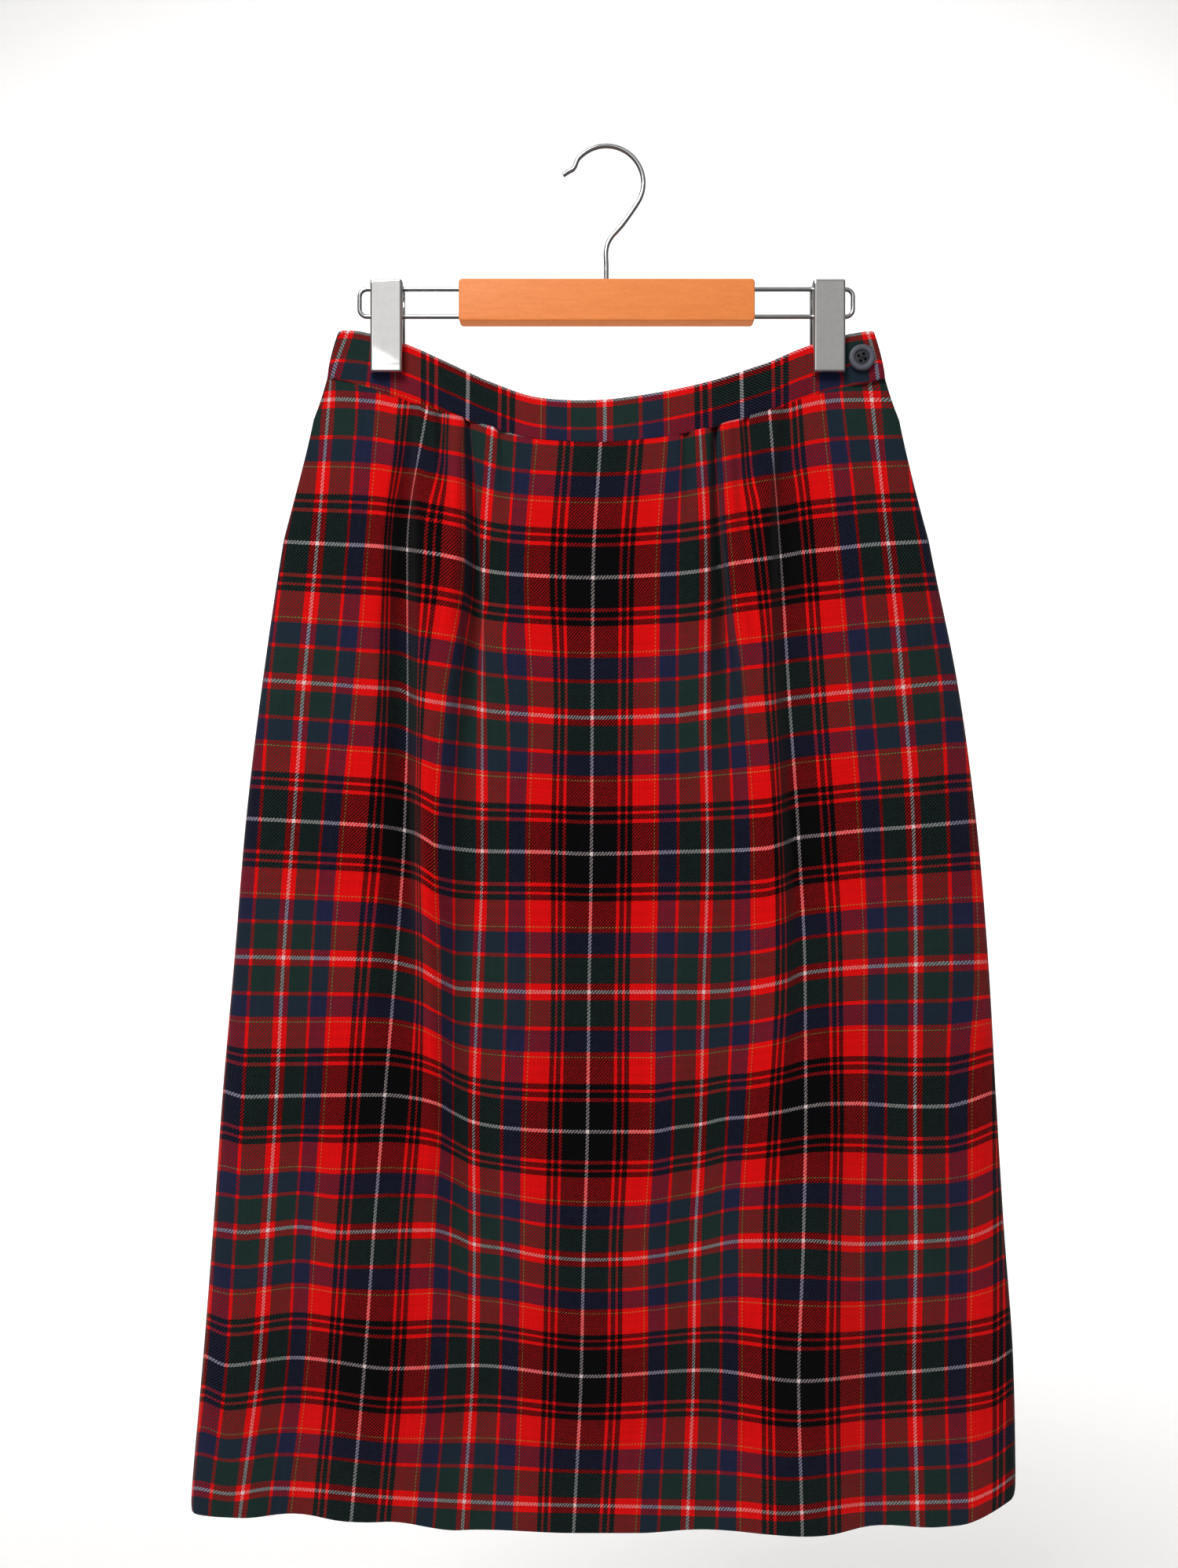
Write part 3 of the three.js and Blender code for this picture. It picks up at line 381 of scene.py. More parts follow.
class NodeSheet:
    """The node tree of a material, or of the world, and the ways to add to it."""

    def __init__(self, name: str, world: bool = False) -> None:
        """Starts an empty material or world."""
        self.owner = (bpy.data.worlds if world else bpy.data.materials).new(name)
        self.owner.use_nodes = True
        self.tree = self.owner.node_tree
        self.tree.nodes.clear()

    def add(self, kind: str, settings: Optional[dict] = None,
            sockets: Optional[dict] = None) -> bpy.types.Node:
        """Adds one node.

        Args:
            kind: The node's type.
            settings: Its properties; "stops" is a ramp's list of place and colour, and
                "interpolation" is how it goes from one to the next.
            sockets: Values or wires for its inputs, by name or number.

        Returns:
            The new node.
        """
        node = self.tree.nodes.new(kind)
        for name, value in (settings or {}).items():
            if name == "stops":
                self._ramp(node.color_ramp, value)
            elif name == "interpolation":
                node.color_ramp.interpolation = value
            else:
                setattr(node, name, value)
        for name, value in (sockets or {}).items():
            if isinstance(value, Wire):
                self.tree.links.new(value.socket, node.inputs[name])
            else:
                node.inputs[name].default_value = value
        return node

    @staticmethod
    def _ramp(ramp: bpy.types.ColorRamp, stops: Sequence[tuple[float, Colour]]) -> None:
        """Fills a colour ramp from its stops."""
        while len(ramp.elements) > 1:
            ramp.elements.remove(ramp.elements[-1])
        for number, (place, colour) in enumerate(stops):
            element = ramp.elements[0] if number == 0 else ramp.elements.new(place)
            element.position = place
            element.color = (*colour, 1)

    def wire(self, node: bpy.types.Node, output: Union[int, str] = 0) -> Wire:
        """One output of a node as a wire."""
        return Wire(self, node.outputs[output])

    def mix(self, factor: Number, first: Paint, second: Paint, blend: str = "MIX") -> Wire:
        """Mixes two colours."""
        fill = lambda colour: colour if isinstance(colour, Wire) else (*colour, 1)
        node = self.add("ShaderNodeMix", {"data_type": "RGBA", "blend_type": blend, "clamp_result": False},
                        {0: factor, 6: fill(first), 7: fill(second)})
        return Wire(self, node.outputs[2])

    def scale(self, colour: Paint, amount: Number) -> Wire:
        """A colour made lighter or darker by a number."""
        node = self.add("ShaderNodeVectorMath", {"operation": "SCALE"}, {0: colour, "Scale": amount})
        return Wire(self, node.outputs[0])

    def noise(self, place: Wire, scale: float, detail: float = 2.0, roughness: float = 0.5) -> Wire:
        """Fractal noise between 0 and 1."""
        node = self.add("ShaderNodeTexNoise", {},
                        {"Vector": place, "Scale": scale, "Detail": detail, "Roughness": roughness})
        return Wire(self, node.outputs[0])

    def object_place(self, stretch: Sequence[float] = (1, 1, 1)) -> Wire:
        """Object coordinates, stretched along the axes."""
        place = self.wire(self.add("ShaderNodeTexCoord"), "Object")
        return self.wire(self.add("ShaderNodeMapping", {}, {"Vector": place, "Scale": stretch}))

    def bump(self, height: Wire, distance: float, strength: float) -> Wire:
        """Turns a height into a normal; the distance is in metres."""
        sockets = {"Height": height, "Distance": distance, "Strength": strength}
        return self.wire(self.add("ShaderNodeBump", {}, sockets))

    def finish(self, **sockets: Union[float, Paint]) -> bpy.types.Material:
        """Closes the sheet with a Principled surface.

        Args:
            **sockets: The surface's inputs, with _ for a space in a name.

        Returns:
            The finished material.
        """
        named = {}
        for name, value in sockets.items():
            colour = isinstance(value, tuple) and len(value) == 3
            named[name.replace("_", " ")] = (*value, 1) if colour else value
        surface = self.add("ShaderNodeBsdfPrincipled", {}, named)
        self.add("ShaderNodeOutputMaterial", {}, {"Surface": self.wire(surface)})
        return self.owner


# ---------------------------------------------------------------- finishes

class Yarn(Enum):
    """The wool's dyed colours, as linear red, green and blue."""

    RED = (0.85, 0.011, 0.012)
    BLACK = (0.007, 0.006, 0.008)
    GREEN = (0.036, 0.08, 0.072)
    BLUE = (0.04, 0.05, 0.125)
    WHITE = (0.88, 0.76, 0.76)
    YELLOW = (0.66, 0.5, 0.12)


# Half of the check, from the white line on black to the white line on red: where each stripe ends.
HALF_SETT = (
    (Yarn.WHITE, 0.013), (Yarn.BLACK, 0.216), (Yarn.RED, 0.244), (Yarn.BLACK, 0.282),
    (Yarn.RED, 0.306), (Yarn.BLACK, 0.34), (Yarn.RED, 0.53), (Yarn.YELLOW, 0.541),
    (Yarn.RED, 0.57), (Yarn.BLUE, 0.725), (Yarn.RED, 0.752), (Yarn.GREEN, 0.934),
    (Yarn.RED, 0.9865), (Yarn.WHITE, 1.0),
)
WARP_HALF = 69.2
WEFT_HALF = 84.6
THREADS = 150


@dataclass(frozen=True)
class TartanTwill:
    """A woollen two-and-two twill woven in the check, read from the cloth's own UV in millimetres."""

    name: str
    fuzz: float = 0.16
    sheen: float = 0.05
    roughness: float = 0.95
    under_share: float = 0.68
    waver: float = 0.8
    thread_shade: float = 0.16
    haze: float = 0.18
    relief: float = 0.00012

    def _yarn(self, sheet: NodeSheet, place: Wire, half: float, turn: float) -> tuple[Wire, Wire]:
        """The colour and number of the thread at a place.

        Args:
            sheet: The material being made.
            place: The distance across the threads.
            half: The half check's width.
            turn: What is taken off so that the check starts on the right line.

        Returns:
            The thread's colour and its number.
        """
        number = (place * (THREADS / half)).floor()
        share = ((number + 0.5) / THREADS - turn).fold(1.0)
        stops, start = [], 0.0
        for yarn, end in HALF_SETT:
            stops.append((start, yarn.value))
            start = end
        ramp = sheet.add("ShaderNodeValToRGB", {"interpolation": "CONSTANT", "stops": stops}, {0: share})
        shade = sheet.wire(sheet.add("ShaderNodeTexWhiteNoise", {"noise_dimensions": "1D"}, {"W": number}))
        return sheet.scale(sheet.wire(ramp), (shade - 0.5) * self.thread_shade + 1.0), number

    def material(self) -> bpy.types.Material:
        """Builds the cloth's material."""
        sheet = NodeSheet(self.name)
        uv = sheet.wire(sheet.add("ShaderNodeUVMap", {"uv_map": "cloth"}))
        wool = sheet.noise(uv, 0.9, 3.0, 0.7)
        haze = sheet.noise(uv, 0.03, 2.0)
        parts = sheet.add("ShaderNodeSeparateXYZ", {}, {0: uv})
        warp_place = sheet.wire(parts, 0) + (wool - 0.5) * self.waver
        weft_place = sheet.wire(parts, 1) + (wool - 0.5) * self.waver
        warp, i = self._yarn(sheet, warp_place, WARP_HALF, 0.0)
        weft, j = self._yarn(sheet, weft_place, WEFT_HALF, 1.0)
        warp_on_top = ((i + j) % 4.0) < 2.0
        top = sheet.mix(warp_on_top, weft, warp)
        under = sheet.mix(warp_on_top, warp, weft)
        veil = sheet.mix(self.under_share, (1, 1, 1), under)
        colour = sheet.mix(1.0, top, veil, "MULTIPLY")
        colour = sheet.scale(colour, (wool - 0.5) * (2 * self.fuzz) + (haze - 0.5) * self.haze + 1.0)
        across = (warp_place * (THREADS / WARP_HALF)) % 1.0
        down = (weft_place * (THREADS / WEFT_HALF)) % 1.0
        thread = warp_on_top * across + (1.0 - warp_on_top) * down
        ridge = thread * (1.0 - thread) * 4.0
        normal = sheet.bump(ridge + wool * 0.8, self.relief, 0.35)
        return sheet.finish(Base_Color=colour, Roughness=self.roughness, Sheen_Weight=self.sheen,
                            Sheen_Roughness=0.5, Specular_IOR_Level=0.05, Normal=normal)


@dataclass(frozen=True)
class StainedWood:
    """Orange-stained close-grained hardwood under a satin lacquer."""

    name: str = "bar_wood"
    light: Colour = (1.0, 0.30, 0.075)
    dark: Colour = (0.86, 0.22, 0.045)

    def material(self) -> bpy.types.Material:
        """Builds the bar's material."""
        sheet = NodeSheet(self.name)
        grain = sheet.noise(sheet.object_place((30, 260, 260)), 2.2, 4.0, 0.65)
        pores = sheet.noise(sheet.object_place((260, 900, 900)), 1.6, 2.0, 0.6)
        colour = sheet.mix((grain - 0.35) * 1.5, self.light, self.dark)
        colour = sheet.scale(colour, (pores - 0.5) * 0.22 + 1.0)
        normal = sheet.bump(pores, 0.0001, 0.25)
        return sheet.finish(Base_Color=colour, Roughness=grain * 0.15 + 0.38, Normal=normal,
                            Specular_IOR_Level=0.35)


@dataclass(frozen=True)
class PlatedMetal:
    """Plated steel, bright or satin, with a faint unevenness."""

    name: str
    colour: Colour
    roughness: float
    streak: float = 0.05
    orange_peel: float = 0.15

    def material(self) -> bpy.types.Material:
        """Builds the metal's material."""
        sheet = NodeSheet(self.name)
        blotch = sheet.noise(sheet.object_place(), 260.0, 3.0, 0.6)
        fine = sheet.noise(sheet.object_place(), 1500.0, 2.0)
        colour = sheet.scale(self.colour, blotch * 0.16 + 0.92)
        normal = sheet.bump(blotch + fine * 0.3, 0.00004, self.orange_peel)
        return sheet.finish(Base_Color=colour, Metallic=1.0, Normal=normal,
                            Roughness=blotch * (2 * self.streak) + (self.roughness - self.streak))


@dataclass(frozen=True)
class Resin:
    """The button's slate blue resin, faintly cloudy, with painted shade darkening the dish.

    The dish's middle, and how far from it the rim's colour is full and fades into the painted dish shade, are
    in metres.
    """

    middle: tuple[float, float, float]
    name: str = "button_resin"
    # The dish colour is painted shade: the resin drawn darker in the recess, where shade falls.
    dish: Colour = (0.022, 0.023, 0.032)
    rim: Colour = (0.092, 0.095, 0.12)
    painted_shade_reach: float = 0.005
    painted_shade_fade: float = 1 / 1200

    def material(self) -> bpy.types.Material:
        """Builds the button's material."""
        sheet = NodeSheet(self.name)
        cloud = sheet.noise(sheet.object_place(), 320.0, 3.0, 0.6)
        reach = sheet.wire(sheet.add("ShaderNodeVectorMath", {"operation": "DISTANCE"},
                                     {0: sheet.object_place(), 1: self.middle}), 1)
        # Paints shade into the dish: the rim colour outside, the darker dish colour towards the middle.
        outside_painted_shade = (reach - self.painted_shade_reach) / self.painted_shade_fade + 1.0
        colour = sheet.scale(sheet.mix(outside_painted_shade, self.dish, self.rim), cloud * 0.3 + 0.85)
        normal = sheet.bump(cloud, 0.00005, 0.2)
        return sheet.finish(Base_Color=colour, Roughness=cloud * 0.12 + 0.36, Normal=normal)


@dataclass(frozen=True)
class SewingThread:
    """Dark twisted polyester thread."""

    name: str = "button_thread"
    dark: Colour = (0.008, 0.008, 0.011)
    light: Colour = (0.02, 0.02, 0.026)

    def material(self) -> bpy.types.Material:
        """Builds the thread's material."""
        sheet = NodeSheet(self.name)
        twist = sheet.noise(sheet.object_place((1, 1, 3)), 2500.0, 2.0)
        colour = sheet.mix(twist, self.dark, self.light)
        return sheet.finish(Base_Color=colour, Roughness=0.7, Normal=sheet.bump(twist, 0.0001, 0.6))


@dataclass(frozen=True)
class StudioPaint:
    """The pale matt paint of the floor and the backdrop."""

    name: str = "studio_paint"
    colour: Colour = (0.93, 0.925, 0.92)

    def material(self) -> bpy.types.Material:
        """Builds the paint."""
        sheet = NodeSheet(self.name)
        mottle = sheet.noise(sheet.object_place(), 3.0, 2.0)
        colour = sheet.scale(self.colour, mottle * 0.02 + 0.99)
        return sheet.finish(Base_Color=colour, Roughness=0.95, Specular_IOR_Level=0.1)


# ---------------------------------------------------------------- meshes

def new_piece(name: str, mesh: bpy.types.Mesh, material: bpy.types.Material) -> bpy.types.Object:
    """Puts a finished mesh, shaded smooth, into the scene at the origin.

    Args:
        name: The piece's name.
        mesh: Its mesh, already in place in metres.
        material: Its finish.

    Returns:
        The new object.
    """
    mesh.materials.clear()
    mesh.materials.append(material)
    mesh.polygons.foreach_set("use_smooth", [True] * len(mesh.polygons))
    piece = bpy.data.objects.new(name, mesh)
    bpy.context.scene.collection.objects.link(piece)
    return piece


def dress(piece: bpy.types.Object, slot: str, *nodes: str) -> None:
    """Rides a piece on the body and hides the nodes it stands for."""
    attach(piece, BODY)
    if nodes:
        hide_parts(*nodes)
    log.info("%s: %d faces", piece.name, len(piece.data.polygons))


def mesh_from_loops(name: str, loops: Array, uv: Optional[Array] = None) -> bpy.types.Mesh:
    """A closed mesh from rows of points, each a closed loop, with a face over the first and last.

    Args:
        name: The mesh's name.
        loops: Points in millimetres, as rows, places along a row, and three coordinates.
        uv: The cloth's UV for each point, where it has one.

    Returns:
        The mesh, in metres.
    """
    rows, columns = loops.shape[:2]
    number = np.arange(rows * columns).reshape(rows, columns)
    above, below = number[:-1], number[1:]
    beside = lambda grid: np.roll(grid, -1, axis=1)
    quads = np.stack([above, below, beside(below), beside(above)], axis=-1).reshape(-1, 4)
    faces = [*quads.tolist(), number[0].tolist(), number[-1][::-1].tolist()]
    mesh = bpy.data.meshes.new(name)
    mesh.from_pydata((loops.reshape(-1, 3) * MM).tolist(), [], faces)
    mesh.update()
    if uv is not None:
        write_uv(mesh, uv.reshape(-1, 2))
    return mesh


def write_uv(mesh: bpy.types.Mesh, uv: Array) -> None:
    """Writes one UV for each point into the map named cloth."""
    layer = mesh.uv_layers.new(name="cloth")
    corners = np.zeros(len(mesh.loops), np.int32)
    mesh.loops.foreach_get("vertex_index", corners)
    layer.data.foreach_set("uv", uv[corners].astype(np.float32).ravel())


def face_outwards(mesh: bpy.types.Mesh) -> bpy.types.Mesh:
    """Makes the faces of a closed mesh point out."""
    work = bmesh.new()
    work.from_mesh(mesh)
    bmesh.ops.recalc_face_normals(work, faces=work.faces)
    if work.calc_volume(signed=True) < 0:
        bmesh.ops.reverse_faces(work, faces=work.faces)
    work.to_mesh(mesh)
    work.free()
    mesh.update()
    return mesh


def rounded_rectangle(left: float, right: float, bottom: float, top: float, corner: float,
                      steps: int = 5) -> Array:
    """The outline of a rectangle with round corners, anticlockwise, as pairs."""
    turns = np.linspace(0, math.pi / 2, steps + 1)
    centres = ((right - corner, top - corner), (left + corner, top - corner),
               (left + corner, bottom + corner), (right - corner, bottom + corner))
    points = []
    for quarter, (x, z) in enumerate(centres):
        angles = turns + quarter * math.pi / 2
        points += [(x + corner * math.cos(a), z + corner * math.sin(a)) for a in angles]
    return np.array(points)


def centripetal(points: Array, steps: int) -> Array:
    """A smooth line through points, with no loops or overshoot where they lie close.

    Args:
        points: The points, in order.
        steps: How many steps lie between two of them.

    Returns:
        The line's points.
    """
    ends = [2 * points[0] - points[1], *points, 2 * points[-1] - points[-2]]
    line = []
    for a, b, c, d in zip(ends, ends[1:], ends[2:], ends[3:]):
        t = np.cumsum([0.0] + [max(np.linalg.norm(q - p), 1e-6) ** 0.5 for p, q in ((a, b), (b, c), (c, d))])
        for share in np.arange(steps) / steps:
            at = t[1] + share * (t[2] - t[1])
            mix = lambda p, q, u, v: (p * (v - at) + q * (at - u)) / (v - u)
            ab, bc, cd = mix(a, b, t[0], t[1]), mix(b, c, t[1], t[2]), mix(c, d, t[2], t[3])
            line.append(mix(mix(ab, bc, t[0], t[2]), mix(bc, cd, t[1], t[3]), t[1], t[2]))
    line.append(points[-1])
    return np.array(line)


# ---------------------------------------------------------------- wires made by Geometry Nodes

class WireTree:
    """Geometry Nodes trees for round wire: along a line, and wound as a coil."""

    def __init__(self, name: str, coil: bool) -> None:
        """Builds the tree.

        Args:
            name: The tree's name.
            coil: Whether it winds a spring, and else follows the edges it is given.
        """
        self.tree = bpy.data.node_groups.new(name, "GeometryNodeTree")
        self.coil = coil
        face = self.tree.interface
        face.new_socket("Geometry", in_out="INPUT", socket_type="NodeSocketGeometry")
        face.new_socket("Wire Radius", in_out="INPUT", socket_type="NodeSocketFloat")
        face.new_socket("Sides", in_out="INPUT", socket_type="NodeSocketInt")
        face.new_socket("Finish", in_out="INPUT", socket_type="NodeSocketMaterial")
        if coil:
            face.new_socket("Coil Radius", in_out="INPUT", socket_type="NodeSocketFloat")
            face.new_socket("Turns", in_out="INPUT", socket_type="NodeSocketFloat")
            face.new_socket("Length", in_out="INPUT", socket_type="NodeSocketFloat")
            face.new_socket("Start", in_out="INPUT", socket_type="NodeSocketVector")
        face.new_socket("Geometry", in_out="OUTPUT", socket_type="NodeSocketGeometry")
        self._wire_up()

    def _add(self, kind: str, **inputs: object) -> bpy.types.Node:
        """Adds a node and sets or links its inputs, with _ for a space in a name."""
        node = self.tree.nodes.new(kind)
        for name, value in inputs.items():
            socket = node.inputs[name.replace("_", " ")]
            if isinstance(value, bpy.types.NodeSocket):
                self.tree.links.new(value, socket)
            else:
                socket.default_value = value
        return node

    def _wire_up(self) -> None:
        """Adds the tree's nodes and links."""
        given = self.tree.nodes.new("NodeGroupInput").outputs
        if self.coil:
            spiral = self._add("GeometryNodeCurveSpiral", Resolution=28, Rotations=given["Turns"],
                               Start_Radius=given["Coil Radius"], End_Radius=given["Coil Radius"],
                               Height=given["Length"])
            placed = self._add("GeometryNodeTransform", Geometry=spiral.outputs[0],
                               Translation=given["Start"], Rotation=(0.0, math.pi / 2, 0.0))
            line = placed.outputs[0]
        else:
            line = self._add("GeometryNodeMeshToCurve", Mesh=given["Geometry"]).outputs[0]
        ring = self._add("GeometryNodeCurvePrimitiveCircle", Resolution=given["Sides"],
                         Radius=given["Wire Radius"])
        tube = self.tree.nodes.new("GeometryNodeCurveToMesh")
        self.tree.links.new(line, tube.inputs[0])
        self.tree.links.new(ring.outputs[0], tube.inputs[1])
        tube.inputs["Fill Caps"].default_value = True
        smooth = self._add("GeometryNodeSetShadeSmooth", Geometry=tube.outputs[0])
        real = self._add("GeometryNodeRealizeInstances", Geometry=smooth.outputs[0])
        finish = self._add("GeometryNodeSetMaterial", Geometry=real.outputs[0], Material=given["Finish"])
        out = self.tree.nodes.new("NodeGroupOutput")
        self.tree.links.new(finish.outputs[0], out.inputs[0])

    def run(self, name: str, finish: bpy.types.Material, values: dict,
            line: Optional[Array] = None) -> bpy.types.Mesh:
        """Makes one wire and gives back its plain mesh.

        Args:
            name: The mesh's name.
            finish: The wire's material.
            values: The tree's inputs, by name.
            line: The points that the wire follows, in millimetres.

        Returns:
            The wire as a plain mesh.
        """
        guide = bpy.data.meshes.new(f"{name}_guide")
        points = [] if line is None else (line * MM).tolist()
        guide.from_pydata(points, [(n, n + 1) for n in range(len(points) - 1)], [])
        holder = bpy.data.objects.new(f"{name}_guide", guide)
        bpy.context.scene.collection.objects.link(holder)
        modifier = holder.modifiers.new("wire", "NODES")
        modifier.node_group = self.tree
        inputs = {**values, "Finish": finish}
        for item in self.tree.interface.items_tree:
            if item.in_out == "INPUT" and item.name in inputs:
                modifier[item.identifier] = inputs[item.name]
        bpy.context.view_layer.update()
        ready = holder.evaluated_get(bpy.context.evaluated_depsgraph_get())
        mesh = bpy.data.meshes.new_from_object(ready)
        mesh.name = name
        bpy.data.objects.remove(holder)
        bpy.data.meshes.remove(guide)
        return face_outwards(mesh)


# ---------------------------------------------------------------- the check laid on the front

@dataclass(frozen=True)
class ViewFrame:
    """The upright view that the check's lines were measured in."""

    width: int = 1500
    height: int = 1997
    pixels_per_mm: float = 2.05
    origin_px: tuple[float, float] = (772.0, 189.0)
    distance: float = 850.0

    @property
    def centre(self) -> tuple[float, float]:
        """X and z in the middle of the view, in the plane y = 0."""
        x = (self.width / 2 - self.origin_px[0]) / self.pixels_per_mm
        z = (self.origin_px[1] - self.height / 2) / self.pixels_per_mm
        return x, z

    def project(self, points: Array) -> tuple[Array, Array]:
        """Where points in millimetres appear in the view."""
        near = self.distance / (self.distance + points[..., 1])
        x = self.centre[0] + (points[..., 0] - self.centre[0]) * near
        z = self.centre[1] + (points[..., 2] - self.centre[1]) * near
        return self.origin_px[0] + self.pixels_per_mm * x, self.origin_px[1] - self.pixels_per_mm * z


VIEW = ViewFrame()

# Each weft line of the front: its height in the middle of the view, then where it stands higher.
WEFT_LINES = (
    (558, ((405, 48), (430, 49.5), (478, 46.5), (506, 41), (533, 39), (545, 33), (600, 23), (640, 9),
           (684, 3), (765, 0), (847, 6), (891, 15), (920, 21), (956, 28), (979, 33), (1002, 35),
           (1023, 41), (1044, 45.6), (1070, 48.4), (1130, 49))),
    (735.6, ((365, 45.6), (430, 42.4), (470, 40.8), (518, 35.6), (591, 22.3), (595, 19.6), (608, 11.8),
             (618, 8.9), (656, 4.1), (690, 2.2), (750, 0), (860, 5.1), (900, 9.9), (931, 17.6),
             (975, 24.2), (994, 27.1), (1026, 32.8), (1061, 36.6), (1114, 42.4), (1179, 46))),
    (914, ((337, 48), (430, 41.7), (457, 39.4), (506.5, 36), (519, 30.8), (531, 25), (564, 18.3),
           (602, 12.6), (614.6, 9.7), (675, 4), (750, 0), (860, 3), (898, 7.8), (948, 15.5),
           (982, 19.3), (1002.5, 24), (1042, 29), (1078, 32.7), (1148, 39), (1208, 45))),
    (1087.5, ((315, 45), (430, 38.8), (485.5, 35), (514, 30.2), (526, 27.3), (545, 16.8), (554, 11),
              (575, 7.2), (614, 3.5), (688, 2.5), (750, 0), (860, 2.5), (936, 4.5), (975, 7.2),
              (994, 12), (1017, 20.6), (1051, 24.5), (1093, 29.2), (1161, 34.5), (1238, 41.5))),
    (1263.5, ((305, 45), (479, 41), (530, 31), (561, 13.9), (585, 4.3), (700, 0), (892, 0),
              (959, 5.7), (1000, 14), (1022, 23.5), (1100, 32), (1253, 38.5))),
    (1441.5, ((286, 51.6), (312, 44.6), (379, 46), (488, 47), (530, 42.5), (560, 34.3), (575, 25.5),
              (603, 12.3), (640, 5.5), (690, 1.5), (750, 0), (828, 0), (861, 5.5), (892, 9.6),
              (926, 17), (953, 19), (997, 26), (1026, 32), (1057, 35.6), (1090, 36), (1165, 32),
              (1205, 32.6), (1230, 38), (1263, 50))),
    (1604.5, ((275, 39), (311, 35), (341, 37.7), (380, 42), (434, 35), (477, 36.3), (550, 37.7),
              (577, 31), (603, 20), (640, 14.4), (702, 3), (748, 0), (797, 1), (824.5, 3.4),
              (885, 13), (946, 24), (1022, 24.5), (1095, 20), (1165, 22.7), (1230, 28),
              (1253, 35.5), (1276, 48))),
    (1753, ((262, 26), (290, 14), (374, 24), (500, 10), (605, 14), (750, 0), (897, 8), (1021, -6),
            (1102, 1), (1262, 18), (1289, 34))),
    (1917.5, ((252, 22), (293, 15), (350, 22), (500, 10), (700, 1), (750, 0), (941, -5), (1000, -10),
              (1102, 2), (1230, 6), (1262, 18), (1293, 39))),
)

# Each warp line's place across the cloth, and where it appears at each weft line.
WARP_PLACES = (-207.6, -175.5, -138.4, -101.3, -69.2, -37.1, 0, 37.1, 69.2, 101.3, 138.4, 175.5, 207.6)
WARP_LINES = (
    (419, 483, 543, 589, 627, 684, 765, 847, 891, 920, 980, 1046, 1110),
    (404, 469, 518.5, 589, 616, 672, 755, 835, 899, 933, 994, 1065, 1131),
    (387, 455, 519, 563, 614, 678, 754, 834, 898, 950, 1005, 1080, 1150),
    (374, 438, 515, 553, 614, 674, 753, 833, 901, 960, 1017, 1093, 1163),
    (361, 425, 504, 558, 608, 675, 750, 830, 896, 961, 1025, 1100, 1166),
    (352, 414, 490, 559, 603, 669, 748, 828, 892, 953, 1026, 1100, 1165),
    (341, 402, 476, 550, 604, 667, 743, 820, 885, 945, 1023, 1096, 1166),
    (330, 393, 464, 542, 602, 665, 740, 820, 883, 945, 1017, 1096, 1164),
    (309, 374, 450, 527, 591, 659, 732, 811, 876, 943, 1021, 1096, 1168),
)
# The warp place at the left and right edge, at each weft line.
WARP_EDGES = ((-214, 216), (-229, 234), (-233, 238), (-238, 246), (-240, 250),
              (-242, 260), (-243, 265), (-243, 270), (-240, 272))


class CheckNet:
    """The front's woven lines, which give each point its place on the flat cloth."""

    # In millimetres: how far the net reads above the first weft line, and how close a warp line
    # may come to a side edge and to the line before it.
    above_first = 8.0
    from_edge = 3.0
    apart = 1.0

    def __init__(self) -> None:
        """Turns the lines' tables into arrays."""
        self.weft_places = np.arange(len(WEFT_LINES)) * WEFT_HALF
        self.warp_lines = np.array(WARP_LINES, float)
        self.edges = np.array(WARP_EDGES, float)

    def weft(self, px: Array, py: Array) -> Array:
        """How far down the cloth the points that appear at px, py lie."""
        knots = np.empty((px.size, len(WEFT_LINES)))
        flat = px.ravel()
        for n, (middle, rises) in enumerate(WEFT_LINES):
            table = np.array(rises, float)
            spread = np.broadcast_to(table[:, 0], (flat.size, len(table)))
            heights = np.broadcast_to(table[:, 1], (flat.size, len(table)))
            knots[:, n] = middle - monotone(spread, heights, np.clip(flat, table[0, 0], table[-1, 0]))
        places = np.broadcast_to(self.weft_places, knots.shape)
        return monotone(knots, places, py.ravel()).reshape(px.shape)

    def _down(self, values: Array, t: Array) -> Array:
        """A column of the net, read down the cloth at t."""
        knots = np.broadcast_to(self.weft_places, (t.size, len(self.weft_places)))
        return monotone(knots, np.broadcast_to(values, knots.shape), np.clip(t, -self.above_first, None))

    def lay(self, points: Array) -> Array:
        """The flat cloth's place of every point of the front.

        Args:
            points: The front's rows of points, in millimetres.

        Returns:
            Warp and weft place of each point.
        """
        px, py = VIEW.project(points)
        t = self.weft(px, py)
        s = np.empty_like(t)
        for r, row in enumerate(points):
            run = along(row)
            left = float(self._down(self.edges[:, 0], t[r, :1])[0])
            right = float(self._down(self.edges[:, 1], t[r, -1:])[0])
            knots, places = [0.0], [left]
            for k, place in enumerate(WARP_PLACES):
                ahead = px[r] - self._down(self.warp_lines[:, k], t[r])
                at = int(np.argmax(ahead > 0))
                if at == 0 or not left + self.from_edge < place < right - self.from_edge:
                    continue
                share = -ahead[at - 1] / (ahead[at] - ahead[at - 1])
                length = run[at - 1] + share * (run[at] - run[at - 1])
                if knots[-1] + self.apart < length < run[-1] - self.apart:
                    knots.append(length)
                    places.append(place)
            knots.append(run[-1])
            places.append(right)
            lanes = (len(run), len(knots))
            s[r] = monotone(np.broadcast_to(knots, lanes), np.broadcast_to(places, lanes), run)
        return np.stack([s, t], axis=-1)


# ---------------------------------------------------------------- the skirt's panels

